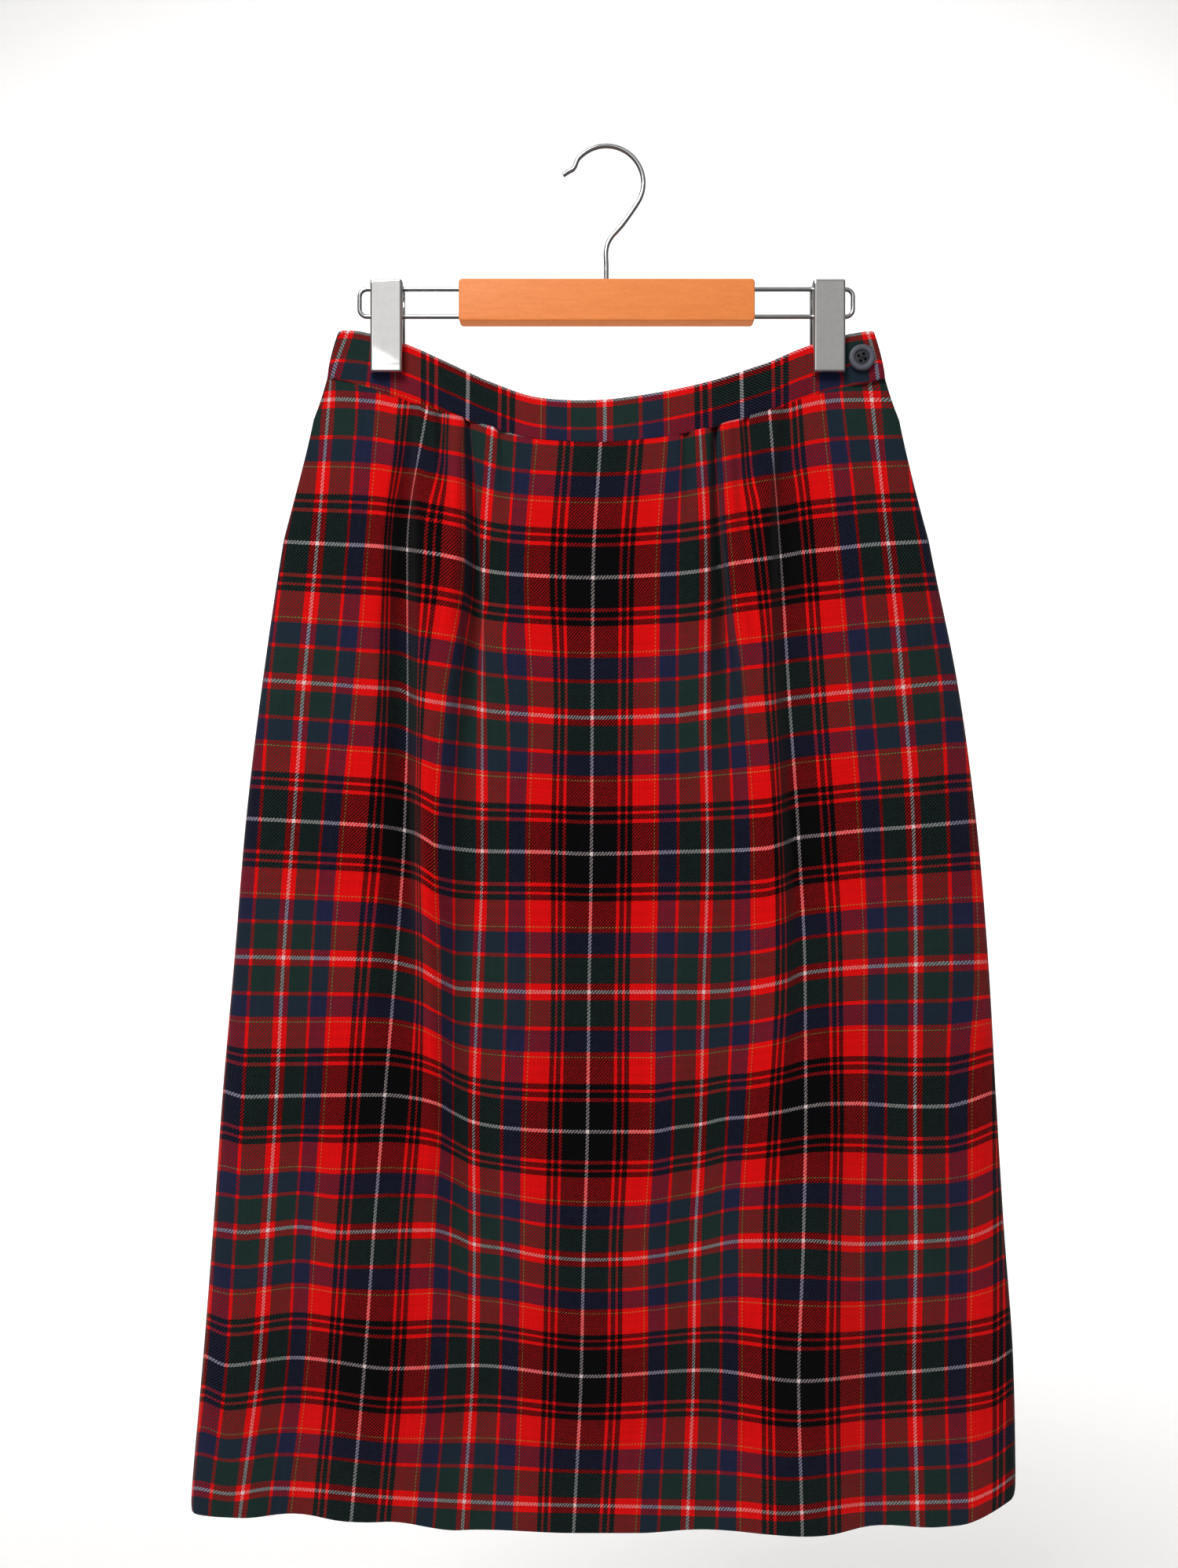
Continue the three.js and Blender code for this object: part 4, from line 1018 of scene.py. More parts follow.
@dataclass
class SkirtPanel:
    """The front or back of the skirt: a thin wall of cloth with its tucks, ridges and ripples.

    Attributes:
        name: The piece's name.
        folds: The panel's folds, placed by hand.
        side: -1 for the front and 1 for the back.
        rows: How many rows of faces run from the seam to the hem.
        widest: The widest step between columns at the seam.
        finest: The narrowest one, on the folds and at the side edges.
        seam_reach: How near a side edge the inner face keeps to its own side of the seam plane.
        tucked_in: How far the top edge goes up inside the band.
        top_step: How far the outer face steps in under the band.
        top_step_reach: Over how much height it does so.
        hem_round: How many rows round the hem's edge off.
        crowding: How much closer rows lie at the top; 1 is even.
        edge_share: Over what share of the half width columns lie closer at the side edges.
        pinch: How sharply the section thins to its sides at the seam.
        roll: How full it stays to its sides lower down.
        rolled_by: How far down it is fully rolled, as a share of the way.
        stand: Between which shares of the way the walls' stand at the side seam fades.
    """

    name: str
    folds: tuple[Fold, ...]
    # folds: The panel's folds.
    side: int
    rows: int
    widest: float
    finest: float
    seam_reach: float = 14.0
    tucked_in: float = 1.4
    top_step: float = 0.7
    top_step_reach: float = 2.5
    hem_round: int = 4
    crowding: float = 1.1
    edge_share: float = 0.1
    pinch: float = 1.5
    roll: float = 4.5
    rolled_by: float = 0.16
    stand: tuple[float, float] = (0.02, 0.2)

    @property
    def anchors(self) -> list[Fold]:
        """The folds that hold the columns, from left to right."""
        return sorted((fold for fold in self.folds if fold.anchor), key=lambda fold: fold.top_x)

    def stations(self) -> Array:
        """Places across the seam, closer together on the folds and the side rolls."""
        half = (WAIST_RIGHT - WAIST_LEFT) / 2
        places, x = [WAIST_LEFT], WAIST_LEFT
        while x < WAIST_RIGHT:
            near = min(abs(x - fold.top_x) / fold.top_width
                       for fold in self.folds if fold.stops[0][2] > 0)
            edge = min(x - WAIST_LEFT, WAIST_RIGHT - x) / (self.edge_share * half)
            share = float(np.clip(min(near - 0.8, edge - 0.6), 0, 1))
            x += self.finest + (self.widest - self.finest) * share
            places.append(x)
        places = np.array(places)
        return WAIST_LEFT + (places - WAIST_LEFT) * (WAIST_RIGHT - WAIST_LEFT) / (places[-1] - WAIST_LEFT)

    def shift(self, x: Array, z: Array) -> tuple[Array, Array]:
        """How far the folds carry points of the plain section sideways and inwards."""
        aside, inward = np.zeros_like(x), np.zeros_like(x)
        for fold in self.folds:
            valley, depth, outer, inner, slip = (fold.column(name, z) for name in FOLD_COLUMNS[1:])
            width = np.where((x - valley) * np.sign(valley) > 0, outer, inner)
            q = np.clip((x - valley) / width, -1, 1)
            share = (0.5 + 0.5 * np.cos(math.pi * q)) ** (1 - 0.5 * fold.crisp)
            inward += depth * share
            aside += np.sign(valley) * slip * share
        return aside, inward

    def follow(self, x: Array, z: float, left: float, right: float) -> Array:
        """Keeps stations on the same fold down at height z, between the side edges there."""
        tops = [WAIST_LEFT, *(fold.top_x for fold in self.anchors), WAIST_RIGHT]
        here = [left, *(float(fold.column("valley", np.array(z))) for fold in self.anchors), right]
        return np.interp(x, tops, here)

    @staticmethod
    def seam_height(x: Array) -> Array:
        """The height of the panel's sewn top edge."""
        return waist("seamZ", x) - SEAM_GAP - 0.2

    def heights(self, x: Array) -> Array:
        """Each column's height at the seam and at every section."""
        aside, _ = self.shift(x, self.seam_height(x))
        rows = [self.seam_height(x + aside)]
        for z, _, left, right, rise_l, rise_r, step_l, step_r, share_l, share_r, _ in SECTIONS:
            here = self.follow(x, z, left, right)
            on_left = here < 0
            reach = np.abs(here / np.where(on_left, left, right))
            step = np.where(on_left, step_l, step_r)
            jump = smoothstep(np.abs(here) - step, -24, 24)
            rise = np.where(on_left, rise_l, rise_r)
            share = np.where(on_left, share_l, share_r)
            rows.append(z + rise * (share * jump + (1 - share) * reach ** 3))
        return np.array(rows)

    def surface(self) -> tuple[Array, Array]:
        """The panel's outer face.

        Returns:
            Rows of points in millimetres from the seam to the hem, and each row's share of the way.
        """
        x = self.stations()
        heights = self.heights(x)
        section_z = np.concatenate([[SEAM_Z], section("z")])
        downs = np.linspace(0, 1, self.rows + 1) ** self.crowding
        grid = np.empty((len(downs), len(x), 3))
        for r, down in enumerate(downs):
            middle = SEAM_Z + (HEM_Z - SEAM_Z) * down
            left, right = (float(ease(SIDE_EDGES[:, 0], SIDE_EDGES[:, n], middle)) for n in (1, 2))
            place = self.follow(x, middle, left, right)
            across = np.clip((2 * place - left - right) / (right - left), -1, 1)
            z = ease(section_z, heights, np.full(len(x), middle))
            pinched = (1 - across ** 2) ** self.pinch
            rolled = np.sqrt(np.maximum(1 - np.abs(across) ** self.roll, 0))
            share = float(smoothstep(np.array(down), 0, self.rolled_by))
            full = pinched + (rolled - pinched) * share
            stand = SEAM_GAP / 2 + WALL * (1 - float(smoothstep(np.array(down), *self.stand)))
            edge = HEM_SEAM_Y * down + self.side * stand
            plain = edge + (self._depth(middle) - edge) * full
            aside, inward = self.shift(place, z)
            soften = self._soften(np.abs(plain - edge))
            grid[r] = np.stack([place + aside, plain - self.side * inward * soften, z], axis=-1)
        return grid, downs

    def _depth(self, middle: float) -> float:
        """How far the panel stands out in its middle."""
        if self.side > 0:
            return float(ease(BACK_DEPTH[:, 0], BACK_DEPTH[:, 1], middle))
        keys = np.concatenate([[SEAM_Z], section("z")])
        return float(ease(keys, np.concatenate([[SEAM_Y], section("y")]), middle))

    def _soften(self, standing: Array) -> Array:
        """Where folds fade out, close to the plane between the panels."""
        share = standing / 3 + 0.2 if self.side < 0 else standing / 5
        return np.clip(share, 0, 1)

    def inner_face(self, outer: Array, downs: Array) -> Array:
        """The outer points moved in by the wall, each on its own panel's side of the seam plane."""
        down = np.gradient(outer, axis=0)
        across = np.gradient(outer, axis=1) * (-self.side)
        outward = np.cross(down, across)
        outward /= np.maximum(np.linalg.norm(outward, axis=-1, keepdims=True), 1e-9)
        inner = outer - WALL * outward
        plane = (HEM_SEAM_Y * downs + self.side * SEAM_GAP / 2)[:, None]
        for end, following in ((0, 1), (-1, -2)):
            x, y, z = (outer[:, end, n] for n in range(3))
            lift = np.abs(y - plane[:, 0]) / WALL
            into = np.sign(outer[:, following, 0] - x) * WALL * np.sqrt(np.maximum(1 - lift ** 2, 0))
            inner[:, end] = np.stack([x + into, plane[:, 0], z], axis=-1)
        near = np.minimum(inner[..., 0] - inner[:, :1, 0], inner[:, -1:, 0] - inner[..., 0]) < self.seam_reach
        kept = self.side * np.maximum(self.side * inner[..., 1], self.side * plane)
        inner[..., 1] = np.where(near, kept, inner[..., 1])
        return inner

    def lay_flat(self, outer: Array, downs: Array) -> Array:
        """The cloth's warp and weft place of each outer point."""
        if self.side < 0:
            return CheckNet().lay(outer)
        keys = np.concatenate([[SEAM_Z], section("z")])
        wefts = np.concatenate([[2.0], section("weft")])
        t = np.interp(-(SEAM_Z + (HEM_Z - SEAM_Z) * downs), -keys, wefts)
        s = np.empty(outer.shape[:2])
        for r, row in enumerate(outer):
            run = along(row)
            s[r] = -(run - np.interp(0.0, row[:, 0], run))
        return np.stack([s, np.broadcast_to(t[:, None], s.shape)], axis=-1)

    def build(self, finish: bpy.types.Material) -> bpy.types.Object:
        """Makes the panel as a closed wall with a tucked-in top and a rounded hem."""
        outer, downs = self.surface()
        uv = self.lay_flat(outer, downs)
        inner = self.inner_face(outer, downs)
        near_seam = np.exp(-((downs * (SEAM_Z - HEM_Z)) / self.top_step_reach) ** 2)[:, None]
        outer[..., 1] -= self.side * self.top_step * near_seam
        top = np.array([outer[0], inner[0]])
        top[..., 2] += self.tucked_in
        hem_out, hem_in = outer[-1], inner[-1]
        middle, radius = (hem_out + hem_in) / 2, (hem_out - hem_in) / 2
        reach = np.linalg.norm(radius, axis=-1, keepdims=True)
        rim = []
        for angle in np.linspace(0, math.pi, self.hem_round + 2)[1:-1]:
            drop = np.array([0, 0, -1.0]) * reach * math.sin(angle)
            rim.append(middle + radius * math.cos(angle) + drop)
        rows = np.concatenate([top[:1], outer, np.array(rim), inner[::-1], top[1:]])
        ends = np.repeat(uv[-1:], self.hem_round, axis=0)
        uvs = np.concatenate([uv[:1] - (0, self.tucked_in), uv, ends, uv[::-1], uv[:1]])
        if self.side > 0:
            rows, uvs = rows[:, ::-1], uvs[:, ::-1]
        return new_piece(self.name, self._wall_mesh(rows, uvs), finish)

    def _wall_mesh(self, rows: Array, uvs: Array) -> bpy.types.Mesh:
        """Joins the rows, which run down the outside and up the inside, into a closed wall."""
        count, columns = rows.shape[:2]
        number = np.arange(count * columns).reshape(count, columns)
        below = np.roll(number, -1, axis=0)
        quads = np.stack([number[:, :-1], below[:, :-1], below[:, 1:], number[:, 1:]], axis=-1)
        faces = quads.reshape(-1, 4).tolist()
        for end, turned in ((0, False), (-1, True)):
            column = number[:, end]
            for n in range(count // 2):
                a, b = n, count - 1 - n
                quad = [column[a], column[b], column[b - 1], column[a + 1]]
                if b - 1 > a + 1:
                    faces.append([int(v) for v in (quad[::-1] if turned else quad)])
                elif b - 1 == a + 1:
                    faces.append([int(v) for v in ((quad[2], quad[1], quad[0]) if turned else quad[:3])])
        mesh = bpy.data.meshes.new(self.name)
        mesh.from_pydata((rows.reshape(-1, 3) * MM).tolist(), [], faces)
        mesh.update()
        write_uv(mesh, uvs.reshape(-1, 2))
        return mesh


@dataclass(frozen=True)
class EndFold:
    """Where the band turns back at one end: the fold's x and y, its reach and its half depth."""

    x: float
    y: float
    reach: float
    half: float

    def stops(self, outwards: int, degrees: Array) -> list[tuple[float, ...]]:
        """The turned face from above, in the form of Waistband.path."""
        found = []
        for angle in np.radians(degrees):
            c, s = math.cos(angle), math.sin(angle)
            y = self.y + self.half * s
            found.append((self.x + outwards * self.reach * c, y, y, outwards * c, s, 0.0))
        return found


@dataclass
class Waistband:
    """The narrow band cut along the check, its top edge folded and its button end lapped over.

    Attributes:
        name: The piece's name.
        left: Where the band turns back at its left end.
        right: Where it turns back at its right end, under the lapped end.
        front_end: How far right the lapped end reaches.
        overlap_start: Where the underlap ends behind the lapped end.
        held_y: How far back the band's back stands at the clips.
        bow: How much further back it stands in the middle.
        bow_reach: How far from the middle it does so.
        back_dip: How much lower the back's top edge hangs in the middle.
        dip_reach: How far from the middle it does so.
        taper_left: How far the top edge is drawn in at the left end.
        taper_right: How far it is drawn in at the right end.
        taper_from: How far from the middle that starts.
        taper_ease: How soon it fades below the top edge; 1 is even.
        lean_left: How far the pattern leans at the left end.
        lean_from: How far left of the middle the lean starts.
        lean_to: How far left of the middle it is full.
        corner_drop: How much lower the top corners lie.
        corner_reach: Over what length they drop.
        line_below_top: How far below the top edge the white line runs.
        pattern_start: Where along the front the pattern across the band starts.
        step: The way between two stations.
        puff: How far the outer face swells out.
        turn_end: To how many degrees each end fold is rounded.
    """

    name: str = "waistband_cloth"
    left: EndFold = EndFold(-171.0, 0.0, 2.2, 2.45)
    right: EndFold = EndFold(170.6, 0.05, 2.35, 2.35)
    front_end: float = 172.2
    overlap_start: float = 151.0
    held_y: float = 2.4
    bow: float = 4.2
    bow_reach: float = 122.0
    back_dip: float = 2.4
    dip_reach: float = 140.0
    taper_left: float = 6.8
    taper_right: float = 7.0
    taper_from: float = 140.0
    taper_ease: float = 1.4
    lean_left: float = 4.5
    corner_drop: float = 0.8
    line_below_top: float = 1.1
    pattern_start: float = -1.0
    step: float = 2.0
    puff: float = 0.2
    corner_reach: float = 5.0
    lean_from: float = 136.0
    lean_to: float = 154.0
    turn_end: float = 78.0

    @property
    def front_count(self) -> int:
        """How many stations the band's front, and its back, has."""
        return int((self.front_end - self.left.x) / self.step)

    def path(self) -> Array:
        """The outer face from above: x, top y, seam y, outward x and y, and the dip behind."""
        stops = []
        for x in np.linspace(self.front_end, self.left.x, self.front_count):
            stops.append((x, float(waist("topY", x, False)), float(waist("seamY", x, False)), 0, -1, 0))
        turns = np.linspace(-self.turn_end, self.turn_end, 9)
        stops += self.left.stops(-1, turns)
        for x in np.linspace(self.left.x, self.right.x, self.front_count):
            y = self.held_y + self.bow * max(1 - (x / self.bow_reach) ** 2, 0)
            stops.append((x, y, y, 0, 1, max(1 - (x / self.dip_reach) ** 2, 0)))
        stops += self.right.stops(1, turns[::-1])
        under = self.right.y - self.right.half
        for x in np.linspace(self.right.x, self.overlap_start, 12):
            stops.append((x, under, under, 0, -1, 0))
        return np.array(stops)

    def section(self) -> list[tuple[float, float, float]]:
        """The strip cut across: how far out from its middle, how far below its place, and the place."""
        half = BAND_WALL / 2
        edge = [(half * math.cos(a), half - half * math.sin(a)) for a in np.radians((90, 60, 30, 0))]
        points = [(out, drop, 0.0) for out, drop in edge]
        points += [(half + self.puff * math.sin(math.pi * q), 0.0, q) for q in np.linspace(0.12, 0.88, 9)]
        points += [(out, -drop, 1.0) for out, drop in reversed(edge)]
        points += [(-out, -drop, 1.0) for out, drop in edge[1:]]
        points += [(-half, 0.0, q) for q in np.linspace(0.88, 0.12, 5)]
        points += [(-out, drop, 0.0) for out, drop in reversed(edge[1:])]
        return points

    def build(self, finish: bpy.types.Material) -> bpy.types.Object:
        """Makes the band as one closed strip with a rounded top fold and lower edge."""
        path = self.path()
        across = path[:, 0]
        x = np.clip(across, WAIST_LEFT, WAIST_RIGHT)
        corner = smoothstep(np.abs(x), WAIST_RIGHT - self.corner_reach, WAIST_RIGHT)
        top = waist("topZ", x) - self.back_dip * path[:, 5] - self.corner_drop * corner
        seam = waist("seamZ", x)
        run = along(np.column_stack([across, path[:, 1:3].mean(axis=1)]))
        front = slice(0, self.front_count)
        start = np.interp(self.pattern_start, across[front][::-1], run[front][::-1])
        most = np.where(across < 0, self.taper_left, -self.taper_right)
        taper = most * smoothstep(np.abs(across), self.taper_from, WAIST_RIGHT)
        lean = self.lean_left * smoothstep(-across, self.lean_from, self.lean_to)
        loops, uvs = [], []
        for out, drop, share in self.section():
            z = top + (seam - top) * share - drop
            level = np.clip((top - z) / (top - seam), 0, 1)
            aside = taper * (1 - level) ** self.taper_ease
            away = out - BAND_WALL / 2
            y = path[:, 1] + (path[:, 2] - path[:, 1]) * level
            loops.append(np.column_stack([across + aside + path[:, 3] * away, y + path[:, 4] * away, z]))
            uvs.append(np.column_stack([WARP_HALF + self.line_below_top - (top - z),
                                        start - run - lean * (1 - level)]))
        loops, uvs = np.array(loops).swapaxes(0, 1), np.array(uvs).swapaxes(0, 1)
        mesh = mesh_from_loops(self.name, loops, uvs)
        return new_piece(self.name, face_outwards(mesh), finish)


# ---------------------------------------------------------------- the button

@dataclass
class SideButton:
    """The four-hole button on the band's lapped end, with its crossed thread."""

    x: float = 157.5
    z: float = -131.9
    back_y: float = -4.95
    radius: float = 8.0
    thickness: float = 3.2
    dish_radius: float = 4.6
    dish_depth: float = 1.3
    back_round: float = 0.9
    rim_round: float = 1.1
    hole_radius: float = 1.0
    hole_pitch: float = 3.1
    hole_turn: float = 21.5
    face_inset: float = 0.35
    thread_radius: float = 0.14
    thread_apart: float = 0.16
    segments: int = 64

    def profile(self) -> list[tuple[float, float]]:
        """The turned outline: radius and height from the back."""
        r, t, dish = self.radius, self.thickness, self.dish_radius
        low, high = self.back_round, self.rim_round
        edge = [(r - low + low * math.cos(a), low + low * math.sin(a))
                for a in np.radians((-90, -60, -30, 0))]
        rim = [(r - high + high * math.cos(a), t - high + high * math.sin(a))
               for a in np.radians((0, 25, 50, 75, 90))]
        slope = [(dish + 0.75, t - 0.03), (dish + 0.4, t - 0.15), (dish + 0.15, t - 0.5), (dish, t - 0.95),
                 (dish - 0.35, t - self.dish_depth), (dish - 2.0, t - self.dish_depth + 0.1)]
        return [(0.0, 0.0), *edge, *rim, *slope, (0.0, t - self.dish_depth + 0.15)]

    @property
    def dish_middle(self) -> tuple[float, float, float]:
        """The middle of the button's face, a little inside it, in metres."""
        return self.x * MM, (self.back_y - self.thickness + self.face_inset) * MM, self.z * MM

    def holes(self) -> list[tuple[float, float]]:
        """The holes' places on the face."""
        reach = self.hole_pitch / math.sqrt(2)
        angles = [math.radians(self.hole_turn + 45 + 90 * n) for n in range(4)]
        return [(self.x + reach * math.cos(a), self.z + reach * math.sin(a)) for a in angles]

    def build(self, finish: bpy.types.Material) -> bpy.types.Object:
        """Turns the button and drills its holes."""
        work = bmesh.new()
        points = [work.verts.new((r * MM, 0, h * MM)) for r, h in self.profile()]
        edges = [work.edges.new(pair) for pair in zip(points, points[1:])]
        bmesh.ops.spin(work, geom=points + edges, axis=(0, 0, 1), cent=(0, 0, 0), steps=self.segments,
                       angle=2 * math.pi, use_duplicate=False)
        bmesh.ops.remove_doubles(work, verts=work.verts, dist=1e-7)
        bmesh.ops.recalc_face_normals(work, faces=work.faces)
        place = Matrix.Translation((self.x * MM, self.back_y * MM, self.z * MM))
        bmesh.ops.transform(work, matrix=place @ Matrix.Rotation(math.pi / 2, 4, "X"), verts=work.verts)
        mesh = bpy.data.meshes.new("side_button")
        work.to_mesh(mesh)
        work.free()
        piece = new_piece("side_button", face_outwards(mesh), finish)
        level = self.back_y - self.thickness / 2
        cut(piece, [round_bar((x, level, z), "y", self.hole_radius, 3 * self.thickness)
                    for x, z in self.holes()])
        return piece

    def thread(self, tree: WireTree, finish: bpy.types.Material) -> bpy.types.Object:
        """Makes the crossed stitches through the holes."""
        holes = self.holes()
        face = self.back_y - self.thickness + self.dish_depth
        work = bmesh.new()
        for n, (a, b) in enumerate(((0, 2), (1, 3))):
            for side in (-self.thread_apart, self.thread_apart):
                (ax, az), (bx, bz) = holes[a], holes[b]
                long = Vector((bx - ax, 0, bz - az)).normalized()
                offset = long.cross(Vector((0, 1, 0))) * side
                lift = 0.16 + 0.2 * n
                shares = (0.0, 0.02, 0.15, 0.5, 0.85, 0.98, 1.0)
                depths = (2.3, 0.5, -0.6 * lift, -lift, -0.6 * lift, 0.5, 2.3)
                line = np.array([(ax + (bx - ax) * q + offset.x, face + d, az + (bz - az) * q + offset.z)
                                 for q, d in zip(shares, depths)])
                strand = tree.run("button_thread", finish,
                                  {"Wire Radius": self.thread_radius * MM, "Sides": 8}, centripetal(line, 5))
                work.from_mesh(strand)
                bpy.data.meshes.remove(strand)
        mesh = bpy.data.meshes.new("button_thread")
        work.to_mesh(mesh)
        work.free()
        return new_piece("button_thread", mesh, finish)


def round_bar(centre: Sequence[float], axis: str, radius: float, length: float) -> bpy.types.Object:
    """A plain round bar for drilling, in millimetres along x, y or z."""
    work = bmesh.new()
    turns = {"x": Matrix.Rotation(math.pi / 2, 4, "Y"), "y": Matrix.Rotation(math.pi / 2, 4, "X"),
             "z": Matrix.Identity(4)}
    place = Matrix.Translation(Vector(centre) * MM) @ turns[axis]
    bmesh.ops.create_cone(work, cap_ends=True, segments=28, radius1=radius * MM, radius2=radius * MM,
                          depth=length * MM, matrix=place)
    mesh = bpy.data.meshes.new("drill")
    work.to_mesh(mesh)
    work.free()
    bar = bpy.data.objects.new("drill", mesh)
    bpy.context.scene.collection.objects.link(bar)
    return bar


def cut(piece: bpy.types.Object, drills: Iterable[bpy.types.Object], sharp: float = 38.0) -> None:
    """Cuts drills out of a piece, removes them, and keeps edges over sharp degrees crisp."""
    for drill in drills:
        modifier = piece.modifiers.new("cut", "BOOLEAN")
        modifier.operation = "DIFFERENCE"
        modifier.solver = "EXACT"
        modifier.object = drill
        bpy.context.view_layer.update()
        ready = piece.evaluated_get(bpy.context.evaluated_depsgraph_get())
        mesh = bpy.data.meshes.new_from_object(ready)
        piece.modifiers.clear()
        old, piece.data = piece.data, mesh
        bpy.data.meshes.remove(old)
        bpy.data.objects.remove(drill)
    mesh = piece.data
    mesh.polygons.foreach_set("use_smooth", [True] * len(mesh.polygons))
    mesh.set_sharp_from_angle(angle=math.radians(sharp))


# ---------------------------------------------------------------- the hanger

@dataclass
class ClipHanger:
    """The hanger's wire hook, wooden bar and the two wire loops that the clips slide on."""

    hook_wire: float = 3.0
    crown_radius: float = 23.0
    crown_start: float = -37.0
    crown_end: float = 140.0
    bend_z: float = -59.8
    hook_seat: float = 12.0
    bar_left: float = -91.2
    bar_right: float = 91.7
    bar_top: float = -82.8
    bar_bottom: float = -109.0
    bar_depth: float = 12.0
    bar_corner: float = 2.2
    bar_edge: float = 1.1
    loop_wire: float = 2.8
    loop_upper: float = -87.6
    loop_lower: float = -104.6
    loop_outer: float = 153.2
    loop_corner: float = 4.6
    loop_seat: float = 12.0
    play: float = 0.3
    # The bent ends of the hook, as x and z: up to the crown, and from the crown to the stem.
    tip: tuple[tuple[float, float], ...] = ((-26.8, -16.6), (-23.6, -14.6), (-20.4, -12.6))
    shoulder: tuple[tuple[float, float], ...] = ((10, -47.4), (2.2, -56.6))

    def hook(self, tree: WireTree, finish: bpy.types.Material) -> bpy.types.Object:
        """Bends the hook: tip, round crown, shoulder and stem."""
        middle = self.hook_wire / 2 - self.crown_radius
        angles = np.radians(np.arange(self.crown_end, self.crown_start, -9.0))
        crown = [(self.crown_radius * math.cos(a), middle + self.crown_radius * math.sin(a)) for a in angles]
        stem = [(0, self.bend_z - 3), (0, -74), (0, self.bar_top - self.hook_seat + self.play)]
        points = [(x, 0, z) for x, z in (*self.tip, *crown, *self.shoulder, *stem)]
        line = centripetal(np.array(points, float), 8)
        mesh = tree.run("hook_wire", finish, {"Wire Radius": self.hook_wire / 2 * MM, "Sides": 24}, line)
        return new_piece("hook_wire", mesh, finish)

    def bar(self, finish: bpy.types.Material) -> bpy.types.Object:
        """Shapes the wooden bar, rounds its edges and drills it for the hook and the wires."""
        edge, half = self.bar_edge, self.bar_depth / 2
        rows = []
        for y_side in (-1, 1):
            angles = np.radians((0, 22.5, 45, 67.5, 90))
            for a in angles if y_side < 0 else angles[::-1]:
                inset = edge * (1 - math.sin(a))
                y = y_side * (half - edge * (1 - math.cos(a)))
                outline = rounded_rectangle(self.bar_left + inset, self.bar_right - inset,
                                            self.bar_bottom + inset, self.bar_top - inset,
                                            max(self.bar_corner - inset * 0.6, 0.6))
                rows.append([(x, y, z) for x, z in outline])
        mesh = mesh_from_loops("bar_wood", np.array(rows))
        piece = new_piece("wooden_bar", face_outwards(mesh), finish)
        drills = [round_bar((0, 0, self.bar_top), "z", self.hook_wire / 2 + self.play, 2 * self.hook_seat)]
        for x in (self.bar_left, self.bar_right):
            for z in (self.loop_upper, self.loop_lower):
                drills.append(round_bar((x, 0, z), "x", self.loop_wire / 2 + self.play, 2 * self.loop_seat))
        cut(piece, drills)
        return piece

    def loop(self, side: int, name: str, tree: WireTree, finish: bpy.types.Material) -> bpy.types.Object:
        """Bends one loop of wire, from its upper seat in the bar round to its lower one."""
        seat = (self.bar_left if side < 0 else self.bar_right) - side * (self.loop_seat - self.play)
        outer, corner = side * self.loop_outer, self.loop_corner
        runs = [seat + (outer - side * corner - seat) * q for q in np.linspace(0, 1, 12)]
        bends = [(outer - side * corner * (1 - math.cos(a)), corner * (1 - math.sin(a)))
                 for a in np.radians(np.linspace(90, 0, 9))]
        line = [(x, self.loop_upper) for x in runs]
        line += [(x, self.loop_upper - in_z) for x, in_z in bends[1:]]
        line += [(x, self.loop_lower + in_z) for x, in_z in reversed(bends)]
        line += [(x, self.loop_lower) for x in reversed(runs[:-1])]
        points = np.array([(x, 0, z) for x, z in line])
        mesh = tree.run(name, finish, {"Wire Radius": self.loop_wire / 2 * MM, "Sides": 20}, points)
        return new_piece(name, mesh, finish)


class Cheek(Enum):
    """Which cheek of a clip: the one before the cloth or the one behind it."""

    FRONT = -1
    BACK = 1


